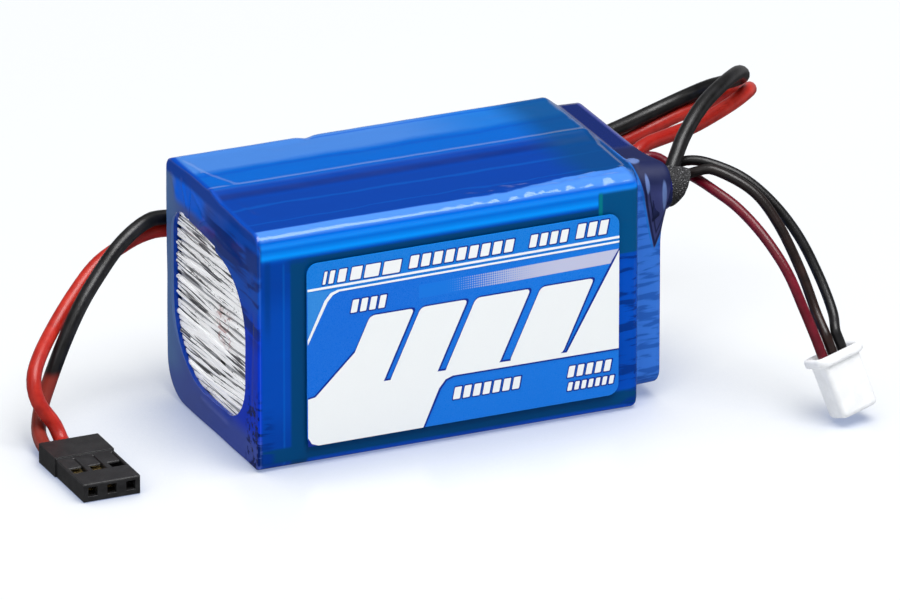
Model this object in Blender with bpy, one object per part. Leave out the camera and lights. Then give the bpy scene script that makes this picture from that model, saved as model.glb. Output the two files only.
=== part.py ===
"""Two-cell lithium-polymer receiver pack in a shrink film, with a power lead and a balance lead.

Metres, +Z up. The origin is the middle of the pack's underside. X runs along the pack, from the plain
end (-X) to the end where the leads come out (+X), and the labelled face is at -Y.
"""

import math

import bmesh
import bpy
from mathutils import Matrix, Vector

# Overall size of the film-wrapped pack
BLOCK_START = -0.028
BLOCK_END = 0.024
PACK_END = 0.028
HALF_WIDTH = 0.0144
TOP_FRONT = 0.0316
TOP_RIDGE = 0.0325
TOP_BACK = 0.0320

# Wall build-up, from the outside in
GAP = 0.0003
FILM = 0.0002
WRAP = 0.0002
WRAP_INSET = FILM + GAP
WRAP_END = 0.0256
CELL_INSET = WRAP_INSET + WRAP + GAP

# Corner radii of the cross-section, in the order front bottom, back bottom, back top, front top
PACK_RADII = (0.0012, 0.0052, 0.0016, 0.0018)
STEP_RADII = (0.0022, 0.0050, 0.0024, 0.0026)
WINDOW_RADII = (0.0065, 0.0090, 0.0035, 0.0090)
REAR_WINDOW_RADII = (0.0060, 0.0080, 0.0080, 0.0060)
CORNER_STEPS = 6

# The narrower lead end of the pack: front, back, bottom and top insets
STEP_FRONT = -0.0124
STEP_BACK = 0.0139
STEP_BOTTOM = 0.0016
STEP_TOP = 0.0313

# Cells
CELL_END = 0.0210
CELL_SPLIT = 0.0006
CELL_TOP = 0.0304
CELL_MIDDLE = 0.0070
TERRACE_END = 0.0230
TERRACE_THICK = 0.0010
TERRACE_LOW = 0.0030
TERRACE_HIGH = 0.0280
TAB_THICK = 0.0002
TAB_WIDTH = 0.0050
TAB_END = 0.0255
TAB_HEIGHTS = {"negative": 0.0090, "positive": 0.0205}

# Connection board behind the tabs
BOARD_START = 0.0246
BOARD_THICK = 0.0008
BOARD_FRONT = -0.0114
BOARD_BACK = 0.0108
BOARD_LOW = 0.0045
BOARD_HIGH = 0.0290
BOARD_FACE = BOARD_START + BOARD_THICK

# Where the leads leave: an oval spout of film round a cloth-tape sleeve, and a slit in the film behind it
EXIT_Y = -0.0093
EXIT_Z = 0.0275
EXIT_HALF_SIDE = 0.0029
EXIT_HALF_UP = 0.00255
EXIT_TAPE = 0.00025
EXIT_TAPE_START = 0.0286
EXIT_TAPE_END = 0.0299
EXIT_TAPE_LEAN = 0.0002
SPOUT_ROOT = 0.0269
SPOUT_ROOT_Z = 0.0272
SPOUT_NECK = 0.0283
SPOUT_END = 0.0295
EXIT_STEPS = 28
SLIT_Y = (-0.0054, -0.0002)
SLIT_Z = (0.0271, 0.0300)

# Joints on the board (y, z), and the leads' sizes
JOINTS = {
    "power_negative": (-0.0102, 0.0277),
    "power_positive": (-0.0022, 0.0279),
    "balance_negative": (-0.0074, 0.0279),
    "balance_middle": (-0.0086, 0.0269),
    "balance_positive": (-0.0043, 0.0279),
}
POWER_LEAD = 0.0019
BALANCE_LEAD = 0.0013
LEAD_START = 0.0267
SERVO_LEAD_ENTRY = 0.0042

# Servo-pattern plug on the power lead
SERVO_PITCH = 0.00254
SERVO_WIDTH = 0.0080
SERVO_LENGTH = 0.0142
SERVO_HEIGHT = 0.0026
SERVO_CENTRE = -0.0477
SERVO_FRONT = -0.0142

# Balance plug
BALANCE_PITCH = 0.0015
BALANCE_BODY = (0.0054, 0.0040, 0.0070)
BALANCE_FLANGE = (0.0070, 0.0052, 0.0012)
BALANCE_TOP = Vector((0.0451, -0.0265, 0.0088))
BALANCE_YAW = math.radians(6)
BALANCE_PITCH_ANGLE = math.radians(-20.6)
BALANCE_ROLL = math.radians(-12)

# Printed label on the front face
LABEL_LEFT = -0.0216
LABEL_RIGHT = 0.0210
LABEL_LOW = 0.0026
LABEL_HIGH = 0.0271
LABEL_RADIUS = 0.0014
LABEL_THICK = 0.00015

# Routes of the leads between their joints and their plugs, chosen by hand and smoothed below
BLACK_POWER_ROUTE = (
    (0.0286, -0.0101, 0.0275), (0.0299, -0.0098, 0.0283), (0.0316, -0.0084, 0.0303), (0.0339, -0.0063, 0.0325),
    (0.0376, -0.0034, 0.0347), (0.0420, 0.0000, 0.0357), (0.0464, 0.0046, 0.0350), (0.0490, 0.0088, 0.0327),
    (0.0497, 0.0136, 0.0302), (0.0484, 0.0171, 0.0284), (0.0459, 0.0191, 0.0267), (0.0414, 0.0196, 0.0251),
    (0.0361, 0.0186, 0.0241), (0.0290, 0.0170, 0.0232), (0.0200, 0.0161, 0.0222), (0.0080, 0.0158, 0.0214),
    (-0.0060, 0.0158, 0.0212), (-0.0180, 0.0160, 0.0219), (-0.0272, 0.0166, 0.0229), (-0.0307, 0.0156, 0.0230),
    (-0.0346, 0.0141, 0.0213), (-0.0380, 0.0126, 0.0186), (-0.0415, 0.0106, 0.0155), (-0.0445, 0.0090, 0.0115),
    (-0.0470, 0.0080, 0.0068), (-0.0486, 0.0068, 0.0040), (-0.0498, 0.0046, 0.0021),
)
RED_POWER_ROUTE = (
    (0.0282, -0.0020, 0.0286), (0.0295, -0.0017, 0.0293), (0.0313, -0.0006, 0.0296), (0.0340, 0.0009, 0.0294),
    (0.0369, 0.0024, 0.0292), (0.0407, 0.0044, 0.0290), (0.0466, 0.0074, 0.0296), (0.0506, 0.0106, 0.0297),
    (0.0520, 0.0138, 0.0286), (0.0503, 0.0172, 0.0266), (0.0459, 0.0191, 0.0246), (0.0414, 0.0196, 0.0230),
    (0.0368, 0.0186, 0.0221), (0.0290, 0.0171, 0.0211), (0.0200, 0.0162, 0.0199), (0.0080, 0.0158, 0.0191),
    (-0.0060, 0.0158, 0.0189), (-0.0180, 0.0162, 0.0197), (-0.0266, 0.0172, 0.0209), (-0.0301, 0.0176, 0.0206),
    (-0.0336, 0.0170, 0.0196), (-0.0373, 0.0158, 0.0182), (-0.0410, 0.0138, 0.0158), (-0.0448, 0.0113, 0.0129),
    (-0.0484, 0.0076, 0.0107), (-0.0501, 0.0053, 0.0087), (-0.0499, 0.0042, 0.0061), (-0.0482, 0.0035, 0.0033),
)
MAROON_BALANCE_ROUTE = (
    (0.0282, -0.0042, 0.0286), (0.0296, -0.0041, 0.0294), (0.0313, -0.0043, 0.0290), (0.0328, -0.0058, 0.0279),
    (0.0341, -0.0087, 0.0276), (0.0354, -0.0118, 0.0268), (0.0374, -0.0149, 0.0251), (0.0391, -0.0189, 0.0225),
    (0.0407, -0.0224, 0.0188), (0.0420, -0.0248, 0.0142),
)
BROWN_BALANCE_ROUTE = (
    (0.0285, -0.0083, 0.0266), (0.0301, -0.0083, 0.0268), (0.0320, -0.0090, 0.0280), (0.0338, -0.0101, 0.0289),
    (0.0358, -0.0114, 0.0292), (0.0395, -0.0146, 0.0270), (0.0418, -0.0173, 0.0232), (0.0436, -0.0204, 0.0176),
    (0.0444, -0.0232, 0.0130),
)
BLACK_BALANCE_ROUTE = (
    (0.0285, -0.0075, 0.0280), (0.0300, -0.0074, 0.0282), (0.0318, -0.0070, 0.0288), (0.0338, -0.0076, 0.0295),
    (0.0361, -0.0091, 0.0293), (0.0396, -0.0116, 0.0277), (0.0426, -0.0142, 0.0247), (0.0449, -0.0170, 0.0208),
    (0.0463, -0.0201, 0.0163), (0.0467, -0.0232, 0.0127),
)


def clear_scene():
    for obj in list(bpy.data.objects):
        bpy.data.objects.remove(obj, do_unlink=True)


def make_material(name, colour, roughness, metallic=0.0, alpha=1.0):
    material = bpy.data.materials.new(name)
    material.use_nodes = True
    shader = material.node_tree.nodes["Principled BSDF"]
    shader.inputs["Base Color"].default_value = (*colour, 1.0)
    shader.inputs["Roughness"].default_value = roughness
    shader.inputs["Metallic"].default_value = metallic
    shader.inputs["Alpha"].default_value = alpha
    return material


def add_object(name, mesh, material=None, smooth_angle=None):
    obj = bpy.data.objects.new(name, mesh)
    bpy.context.scene.collection.objects.link(obj)
    if material:
        mesh.materials.append(material)
    if smooth_angle:
        mesh.shade_smooth()
        mesh.set_sharp_from_angle(angle=math.radians(smooth_angle))
    return obj


def mesh_from(name, points, faces):
    mesh = bpy.data.meshes.new(name)
    mesh.from_pydata([tuple(point) for point in points], [], faces)
    shape = bmesh.new()
    shape.from_mesh(mesh)
    bmesh.ops.recalc_face_normals(shape, faces=shape.faces)
    shape.to_mesh(mesh)
    shape.free()
    return mesh


def box_mesh(name, low, high):
    shape = bmesh.new()
    bmesh.ops.create_cube(shape, size=1.0)
    for vert in shape.verts:
        vert.co = Vector((a + (b - a) * (c + 0.5) for a, b, c in zip(low, high, vert.co)))
    mesh = bpy.data.meshes.new(name)
    shape.to_mesh(mesh)
    shape.free()
    return mesh


def add_box(name, low, high, material, bevel=0.0):
    obj = add_object(name, box_mesh(name, low, high), material)
    if bevel:
        add_bevel(obj, bevel)
    return obj


def add_bevel(obj, width, segments=2):
    modifier = obj.modifiers.new("soft_edges", "BEVEL")
    modifier.width = width
    modifier.segments = segments
    modifier.limit_method = "ANGLE"


def hide_cutter(obj):
    obj.hide_render = True
    obj.display_type = "WIRE"
    return obj


def combine(obj, other, operation):
    modifier = obj.modifiers.new(other.name, "BOOLEAN")
    modifier.operation = operation
    modifier.object = hide_cutter(other)


def cut_box(obj, name, low, high):
    combine(obj, add_object(name, box_mesh(name, low, high)), "DIFFERENCE")


def rounded_section(front, back, bottom, top_front, top_back, radii, ridge=None):
    """Points (y, z) round a rectangle with round corners, from the front bottom corner towards the back.

    The top side carries three more points, which hold the ridge when there is one.
    """
    corners = (
        (front, bottom, 1, 1, 180),
        (back, bottom, -1, 1, 270),
        (back, top_back, -1, -1, 0),
        (front, top_front, 1, -1, 90),
    )
    points = []
    for index, ((y, z, side_y, side_z, start), radius) in enumerate(zip(corners, radii)):
        for step in range(CORNER_STEPS):
            angle = math.radians(start + 90 * step / (CORNER_STEPS - 1))
            centre = (y + side_y * radius, z + side_z * radius)
            points.append((centre[0] + radius * math.cos(angle), centre[1] + radius * math.sin(angle)))
        if index == 2:
            points += top_side(top_front, top_back, front, back, ridge)
    return points


def top_side(top_front, top_back, front, back, ridge):
    if ridge is None:
        middle = (front + back) / 2
        quarter = (back - front) / 8
        share = (top_back - top_front) / (back - front)
        places = (middle + quarter, middle, middle - quarter)
        return [(y, top_front + share * (y - front)) for y in places]
    return [(0.0016, top_back), (0.0007, ridge), (-0.0010, top_front + 0.0004)]


def pack_section(inset):
    radii = [max(radius - inset, 0.0004) for radius in PACK_RADII]
    return rounded_section(
        -HALF_WIDTH + inset, HALF_WIDTH - inset, inset,
        TOP_FRONT - inset, TOP_BACK - inset, radii, TOP_RIDGE - inset,
    )


def step_section(inset):
    radii = [max(radius - inset, 0.0004) for radius in STEP_RADII]
    return rounded_section(
        STEP_FRONT + inset, STEP_BACK - inset, STEP_BOTTOM + inset,
        STEP_TOP - inset, STEP_TOP - inset, radii,
    )


def loft(name, sections, closed_start=False, closed_end=False):
    """Mesh through sections of equal length, each an x with its (y, z) points."""
    count = len(sections[0][1])
    points = [(x, y, z) for x, section in sections for y, z in section]
    faces = []
    for row in range(len(sections) - 1):
        for i in range(count):
            j = (i + 1) % count
            a, b = row * count, (row + 1) * count
            faces.append((a + i, a + j, b + j, b + i))
    if closed_start:
        faces.append(tuple(range(count)))
    if closed_end:
        faces.append(tuple(range((len(sections) - 1) * count, len(sections) * count)))
    return mesh_from(name, points, faces)


def add_shell(name, sections, thickness, material, closed_start=False):
    obj = add_object(name, loft(name, sections, closed_start), material, 40)
    modifier = obj.modifiers.new("wall", "SOLIDIFY")
    modifier.thickness = thickness
    modifier.offset = -1.0
    return obj


def exit_ring(x, half_side, half_up, lean=0.0, z=EXIT_Z):
    """An oval round the leads. With a lean its top lies further out than its bottom."""
    ring = []
    for step in range(EXIT_STEPS):
        angle = 2 * math.pi * step / EXIT_STEPS
        across, up = math.cos(angle), math.sin(angle)
        ring.append(Vector((x + lean * up, EXIT_Y + half_side * across, z + half_up * up)))
    return ring


def ring_mesh(name, rings):
    """A solid through rings of equal length."""
    count = len(rings[0])
    points = [point for ring in rings for point in ring]
    faces = [tuple(range(count)), tuple(range(len(points) - count, len(points)))]
    for row in range(len(rings) - 1):
        for i in range(count):
            j = (i + 1) % count
            faces.append((row * count + i, row * count + j, row * count + count + j, row * count + count + i))
    return mesh_from(name, points, faces)


def bridge_section(inset):
    """Between the full section and the narrower lead end, where the film turns in."""
    share = 0.35
    pairs = zip(pack_section(inset), step_section(inset))
    return [(y + share * (b - y), z + share * (c - z)) for (y, z), (b, c) in pairs]


def end_windows():
    """The oval openings that the shrunk film leaves in the two ends."""
    plain_end = rounded_section(-0.0100, 0.0116, 0.0037, 0.0245, 0.0256, WINDOW_RADII)
    lead_end = rounded_section(-0.0070, 0.0110, 0.0048, 0.0225, 0.0225, REAR_WINDOW_RADII)
    return plain_end, lead_end


def add_shrink_film(material):
    plain_end, lead_end = end_windows()
    sections = [
        (BLOCK_START + 0.0001, plain_end),
        (BLOCK_START, pack_section(0.0005)),
        (BLOCK_START + 0.0002, pack_section(0.0002)),
        (BLOCK_START + 0.0006, pack_section(0.0)),
        (BLOCK_END - 0.0010, pack_section(0.0)),
        (BLOCK_END - 0.0002, pack_section(0.0003)),
        (BLOCK_END + 0.0002, bridge_section(0.0003)),
        (BLOCK_END + 0.0006, step_section(-0.0002)),
        (PACK_END - 0.0010, step_section(0.0)),
        (PACK_END - 0.0003, step_section(0.0003)),
        (PACK_END, step_section(0.0010)),
        (PACK_END - 0.0001, lead_end),
    ]
    film = add_shell("shrink_film", sections, FILM, material)
    side = EXIT_HALF_SIDE + EXIT_TAPE + GAP
    up = EXIT_HALF_UP + EXIT_TAPE + GAP
    outside = [
        exit_ring(SPOUT_ROOT, 0.8 * (side + FILM), 0.8 * (up + FILM), z=SPOUT_ROOT_Z),
        exit_ring(SPOUT_NECK, side + FILM, up + FILM),
        exit_ring(SPOUT_END, side + FILM, up + FILM),
    ]
    inside = [
        exit_ring(SPOUT_ROOT - 0.0002, 0.78 * side, 0.78 * up, z=SPOUT_ROOT_Z),
        exit_ring(SPOUT_NECK, side, up),
        exit_ring(SPOUT_END + 0.001, side, up),
    ]
    combine(film, add_object("spout_outside", ring_mesh("spout_outside", outside)), "UNION")
    combine(film, add_object("spout_inside", ring_mesh("spout_inside", inside)), "DIFFERENCE")
    slit = rounded_section(*SLIT_Y, SLIT_Z[0], SLIT_Z[1], SLIT_Z[1], (0.0010,) * 4)
    cutter = loft("film_slit", [(SPOUT_ROOT, slit), (SPOUT_END, slit)], True, True)
    combine(film, add_object("film_slit", cutter), "DIFFERENCE")


def add_filament_wrap(material):
    inset = WRAP_INSET
    sections = [
        (BLOCK_START + inset, pack_section(inset + 0.0010)),
        (BLOCK_START + inset + 0.0003, pack_section(inset + 0.0003)),
        (BLOCK_START + inset + 0.0010, pack_section(inset)),
        (BLOCK_END - 0.0010 - inset, pack_section(inset)),
        (BLOCK_END - 0.0002 - inset, pack_section(inset + 0.0006)),
        (BLOCK_END + 0.0001 - inset, bridge_section(inset + 0.0006)),
        (BLOCK_END + 0.0006 - inset, step_section(inset)),
        (WRAP_END, step_section(inset)),
    ]
    add_shell("filament_wrap", sections, WRAP, material, closed_start=True)


def cell_section(front, back, radii, inset):
    low = CELL_INSET + inset
    radii = [max(radius - inset, 0.0004) for radius in radii]
    return rounded_section(front + inset, back - inset, low, CELL_TOP - inset, CELL_TOP - inset, radii)


def add_cell(name, front, back, radii, middle, material):
    start = BLOCK_START + CELL_INSET
    sections = [
        (start, cell_section(front, back, radii, 0.0010)),
        (start + 0.0010, cell_section(front, back, radii, 0.0)),
        (CELL_END - 0.0014, cell_section(front, back, radii, 0.0)),
        (CELL_END, cell_section(front, back, radii, 0.0014)),
    ]
    cell = add_object(name, loft(name, sections, True, True), material, 40)
    low = (CELL_END - 0.0010, middle - TERRACE_THICK / 2, TERRACE_LOW)
    high = (TERRACE_END, middle + TERRACE_THICK / 2, TERRACE_HIGH)
    combine(cell, add_object(name + "_terrace", box_mesh(name + "_terrace", low, high)), "UNION")


def add_cells(material):
    edge = HALF_WIDTH - CELL_INSET
    front_radii = (0.0018, 0.0018, 0.0018, 0.0022)
    rear_radii = (0.0018, 0.0048, 0.0022, 0.0018)
    add_cell("front_cell", -edge, -CELL_SPLIT, front_radii, -CELL_MIDDLE, material)
    add_cell("rear_cell", CELL_SPLIT, edge, rear_radii, CELL_MIDDLE, material)


def add_cell_pad(material):
    half = CELL_SPLIT - GAP
    add_box("cell_gap_pad", (-0.0240, -half, 0.0040), (0.0180, half, 0.0275), material)


def add_tabs(aluminium, nickel):
    for cell, y in (("front", -CELL_MIDDLE), ("rear", CELL_MIDDLE)):
        for pole, z in TAB_HEIGHTS.items():
            low = (TERRACE_END + GAP, y - TAB_THICK / 2, z - TAB_WIDTH / 2)
            high = (TAB_END, y + TAB_THICK / 2, z + TAB_WIDTH / 2)
            material = aluminium if pole == "positive" else nickel
            add_box(f"{cell}_{pole}_tab", low, high, material)


def add_connection_board(material):
    board = add_box(
        "connection_board", (BOARD_START, BOARD_FRONT, BOARD_LOW), (BOARD_FACE, BOARD_BACK, BOARD_HIGH), material)
    half_slot = TAB_THICK / 2 + GAP
    half_width = TAB_WIDTH / 2 + GAP
    for cell, y in (("front", -CELL_MIDDLE), ("rear", CELL_MIDDLE)):
        for pole, z in TAB_HEIGHTS.items():
            low = (BOARD_START - 0.001, y - half_slot, z - half_width)
            high = (BOARD_FACE + 0.001, y + half_slot, z + half_width)
            cut_box(board, f"{cell}_{pole}_slot", low, high)


def add_series_link(material):
    """Nickel strip across the board, from the front cell's positive tab to the rear cell's negative one."""
    start = BOARD_FACE + GAP
    points = [(-0.0092, 0.0196), (-0.0092, 0.0226), (-0.0050, 0.0226), (0.0092, 0.0104), (0.0092, 0.0070),
              (0.0052, 0.0070)]
    section = [(start, points), (start + 0.0002, points)]
    add_object("series_link_strip", loft("series_link_strip", section, True, True), material)


def add_solder_joint(name, y, z, radius, material):
    height = 0.0006
    shape = bmesh.new()
    bmesh.ops.create_uvsphere(shape, u_segments=16, v_segments=8, radius=1.0)
    cut = bmesh.ops.bisect_plane(
        shape, geom=shape.verts[:] + shape.edges[:] + shape.faces[:],
        plane_co=(0, 0, 0.2), plane_no=(0, 0, -1), clear_outer=True)
    rim = [item for item in cut["geom_cut"] if isinstance(item, bmesh.types.BMEdge)]
    bmesh.ops.holes_fill(shape, edges=rim)
    turn = Matrix.Rotation(math.radians(90), 4, "Y")
    place = Matrix.Translation((BOARD_FACE + GAP - 0.2 * height, y, z))
    size = Matrix.Diagonal((radius, radius, height, 1.0))
    bmesh.ops.transform(shape, matrix=place @ turn @ size, verts=shape.verts)
    bmesh.ops.recalc_face_normals(shape, faces=shape.faces)
    mesh = bpy.data.meshes.new(name)
    shape.to_mesh(mesh)
    shape.free()
    add_object(name, mesh, material, 60)


def add_solder_joints(material):
    for joint, (y, z) in JOINTS.items():
        radius = 0.00085 if joint.startswith("power") else 0.00055
        add_solder_joint(f"{joint}_solder", y, z, radius, material)


def add_board_cover(material):
    """Foam pad between the board and the end of the film, below the leads."""
    low = (BOARD_FACE + GAP + 0.0005, -0.0108, 0.0046)
    high = (PACK_END - FILM - GAP - 0.0002, 0.0118, 0.0240)
    add_box("board_foam_cover", low, high, material, 0.0004)


def add_board_insulator(material):
    """Fish-paper sheet between the cell terraces and the board, with slots for the tabs."""
    start = TERRACE_END + GAP + 0.0004
    sheet = add_box("board_insulator", (start, -0.0110, 0.0046), (start + 0.0003, 0.0120, 0.0290), material)
    half_slot = TAB_THICK / 2 + GAP
    half_width = TAB_WIDTH / 2 + GAP
    for cell, y in (("front", -CELL_MIDDLE), ("rear", CELL_MIDDLE)):
        for pole, z in TAB_HEIGHTS.items():
            low = (start - 0.001, y - half_slot, z - half_width)
            high = (start + 0.001, y + half_slot, z + half_width)
            cut_box(sheet, f"{cell}_{pole}_paper_slot", low, high)


def add_exit_tape(material):
    """Cloth tape wound round the leads where they pass through the film, its free end slanting."""
    side = EXIT_HALF_SIDE + EXIT_TAPE
    up = EXIT_HALF_UP + EXIT_TAPE
    outside = [exit_ring(EXIT_TAPE_START, side, up), exit_ring(EXIT_TAPE_END, side, up, EXIT_TAPE_LEAN)]
    inside = [
        exit_ring(EXIT_TAPE_START - 0.001, EXIT_HALF_SIDE, EXIT_HALF_UP),
        exit_ring(EXIT_TAPE_END + 0.001, EXIT_HALF_SIDE, EXIT_HALF_UP),
    ]
    tape = add_object("lead_exit_tape", ring_mesh("lead_exit_tape", outside), material, 40)
    combine(tape, add_object("exit_tape_inside", ring_mesh("exit_tape_inside", inside)), "DIFFERENCE")


def smooth_route(route, spacing):
    """Evenly spaced points on a Catmull-Rom curve through the route."""
    knots = [Vector(point) for point in route]
    ends = [2 * knots[0] - knots[1]] + knots + [2 * knots[-1] - knots[-2]]
    dense = []
    for a, b, c, d in zip(ends, ends[1:], ends[2:], ends[3:]):
        for step in range(12):
            t = step / 12
            dense.append(0.5 * (2 * b + (c - a) * t + (2 * a - 5 * b + 4 * c - d) * t**2
                                + (3 * b - a - 3 * c + d) * t**3))
    dense.append(knots[-1])
    lengths = [0.0]
    for a, b in zip(dense, dense[1:]):
        lengths.append(lengths[-1] + (b - a).length)
    count = max(int(lengths[-1] / spacing), 4)
    points = []
    index = 0
    for step in range(count + 1):
        target = lengths[-1] * step / count
        while index < len(dense) - 2 and lengths[index + 1] < target:
            index += 1
        share = (target - lengths[index]) / (lengths[index + 1] - lengths[index])
        points.append(dense[index].lerp(dense[index + 1], share))
    return points


def add_lead(name, diameter, joint, route, ending, material):
    """A lead from its joint, out of the film, along its route and into its plug."""
    start = [Vector((LEAD_START + ahead, *JOINTS[joint])) for ahead in (0.0, 0.0006)]
    points = smooth_route([*start, *route, *ending], 2.0 * diameter)
    curve = bpy.data.curves.new(name, "CURVE")
    curve.dimensions = "3D"
    curve.bevel_depth = diameter / 2
    curve.bevel_resolution = 2
    curve.use_fill_caps = True
    spline = curve.splines.new("POLY")
    spline.points.add(len(points) - 1)
    for knot, point in zip(spline.points, points):
        knot.co = (*point, 1.0)
    curve.materials.append(material)
    bpy.context.scene.collection.objects.link(bpy.data.objects.new(name, curve))


def servo_ending(index):
    """The last points of a power lead, straight into the back of the servo-pattern plug."""
    x = SERVO_CENTRE + index * SERVO_PITCH
    back = SERVO_FRONT + SERVO_LENGTH
    return [Vector((x, back + ahead, SERVO_HEIGHT / 2)) for ahead in (0.0020, 0.0010, 0.0, -SERVO_LEAD_ENTRY)]


def balance_ending(index):
    """The last points of a balance lead, straight into the balance plug."""
    frame = balance_frame()
    return [frame @ Vector((index * BALANCE_PITCH, 0.0, ahead)) for ahead in (0.0022, 0.0010, -0.0006)]


def add_leads(black, red, maroon, brown):
    power = (
        ("power_lead_black", "power_negative", BLACK_POWER_ROUTE, -1, black),
        ("power_lead_red", "power_positive", RED_POWER_ROUTE, 0, red),
    )
    for name, joint, route, index, material in power:
        add_lead(name, POWER_LEAD, joint, route, servo_ending(index), material)
    balance = (
        ("balance_lead_maroon", "balance_positive", MAROON_BALANCE_ROUTE, -1, maroon),
        ("balance_lead_brown", "balance_middle", BROWN_BALANCE_ROUTE, 0, brown),
        ("balance_lead_black", "balance_negative", BLACK_BALANCE_ROUTE, 1, black),
    )
    for name, joint, route, index, material in balance:
        add_lead(name, BALANCE_LEAD, joint, route, balance_ending(index), material)


def add_servo_plug(material, gold):
    """Three-way plug, 2.54 mm pitch, lying on the floor with its sockets towards -Y."""
    back = SERVO_FRONT + SERVO_LENGTH
    left = SERVO_CENTRE - SERVO_WIDTH / 2
    right = SERVO_CENTRE + SERVO_WIDTH / 2
    shoulder = back - 0.0053
    plug = add_object("servo_plug_housing", box_mesh(
        "servo_plug_housing", (left, shoulder, 0.0), (right, back, SERVO_HEIGHT)), material)
    nose = box_mesh("servo_plug_nose", (left + 0.0002, SERVO_FRONT, 0.0), (right - 0.0002, shoulder + 0.001, 0.00245))
    combine(plug, add_object("servo_plug_nose", nose), "UNION")
    middle = 0.0013
    for index in (-1, 0, 1):
        x = SERVO_CENTRE + index * SERVO_PITCH
        cut_box(plug, f"servo_wire_way_{index + 2}", (x - 0.0011, back - 0.0045, middle - 0.0011),
                (x + 0.0011, back + 0.001, middle + 0.0011))
        cut_box(plug, f"servo_channel_{index + 2}", (x - 0.00105, SERVO_FRONT + 0.0010, middle - 0.00085),
                (x + 0.00105, back - 0.0035, middle + 0.00085))
        cut_box(plug, f"servo_socket_{index + 2}", (x - 0.0006, SERVO_FRONT - 0.001, middle - 0.0006),
                (x + 0.0006, SERVO_FRONT + 0.0015, middle + 0.0006))
        cut_box(plug, f"servo_window_{index + 2}", (x - 0.00095, SERVO_FRONT + 0.0038, middle),
                (x + 0.00095, SERVO_FRONT + 0.0055, SERVO_HEIGHT + 0.001))
    for index in (0, 1):
        x = SERVO_CENTRE + index * SERVO_PITCH
        add_servo_contact(f"servo_contact_{index + 1}", x - SERVO_PITCH, middle, gold)


def add_servo_contact(name, x, middle, gold):
    start = SERVO_FRONT + 0.0016
    contact = add_object(name, box_mesh(
        name, (x - 0.00075, start, middle - 0.0005), (x + 0.00075, start + 0.0052, middle + 0.0006)), gold)
    cut_box(contact, name + "_socket", (x - 0.00045, start - 0.001, middle - 0.00025),
            (x + 0.00045, start + 0.0042, middle + 0.00035))
    crimp = box_mesh(name + "_crimp", (x - 0.0005, start + 0.0050, middle - 0.0005),
                     (x + 0.0005, start + 0.0078, middle))
    combine(contact, add_object(name + "_crimp", crimp), "UNION")


def balance_frame():
    turn = (Matrix.Rotation(BALANCE_YAW, 4, "Z") @ Matrix.Rotation(BALANCE_PITCH_ANGLE, 4, "X")
            @ Matrix.Rotation(BALANCE_ROLL, 4, "Y"))
    return Matrix.Translation(BALANCE_TOP) @ turn


def add_balance_plug(material, tin):
    """Three-way balance plug, standing on its mating end. Its own frame hangs down from the wire end."""
    frame = balance_frame()
    body_x, body_y, body_z = BALANCE_BODY
    flange_x, flange_y, flange_z = BALANCE_FLANGE
    plug = add_object("balance_plug_housing", box_mesh(
        "balance_plug_housing", (-body_x / 2, -body_y / 2, -flange_z - body_z), (body_x / 2, body_y / 2, -0.0002)),
        material)
    parts = [("balance_flange", (-flange_x / 2, -flange_y / 2, -flange_z), (flange_x / 2, flange_y / 2, 0.0), "UNION"),
             ("balance_recess", (-0.0025, -0.0010, -0.0011), (0.0025, 0.0010, 0.001), "DIFFERENCE")]
    for index in (-1, 0, 1):
        x = index * BALANCE_PITCH
        parts.append((f"balance_way_{index + 2}", (x - 0.00045, -0.00045, -0.0100), (x + 0.00045, 0.00045, -0.0005),
                      "DIFFERENCE"))
    for name, low, high, operation in parts:
        tool = add_object(name, box_mesh(name, low, high))
        tool.matrix_world = frame
        combine(plug, tool, operation)
    plug.matrix_world = frame
    for index in (-1, 0, 1):
        x = index * BALANCE_PITCH
        name = f"balance_contact_{index + 2}"
        contact = add_object(name, box_mesh(name, (x - 0.0003, -0.0003, -0.0076), (x + 0.0003, 0.0003, -0.0012)), tin)
        contact.matrix_world = frame


def add_front_label(material):
    back = -HALF_WIDTH - GAP
    corners = ((LABEL_LEFT, LABEL_LOW, 1, 1, 180), (LABEL_RIGHT, LABEL_LOW, -1, 1, 270),
               (LABEL_RIGHT, LABEL_HIGH, -1, -1, 0), (LABEL_LEFT, LABEL_HIGH, 1, -1, 90))
    outline = []
    for x, z, side_x, side_z, start in corners:
        for step in range(CORNER_STEPS):
            angle = math.radians(start + 90 * step / (CORNER_STEPS - 1))
            outline.append((x + side_x * LABEL_RADIUS + LABEL_RADIUS * math.cos(angle),
                            z + side_z * LABEL_RADIUS + LABEL_RADIUS * math.sin(angle)))
    count = len(outline)
    points = [(x, back - depth, z) for depth in (0.0, LABEL_THICK) for x, z in outline]
    faces = [tuple(range(count)), tuple(range(count, 2 * count))]
    faces += [(i, (i + 1) % count, count + (i + 1) % count, count + i) for i in range(count)]
    add_object("front_label", mesh_from("front_label", points, faces), material)


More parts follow.
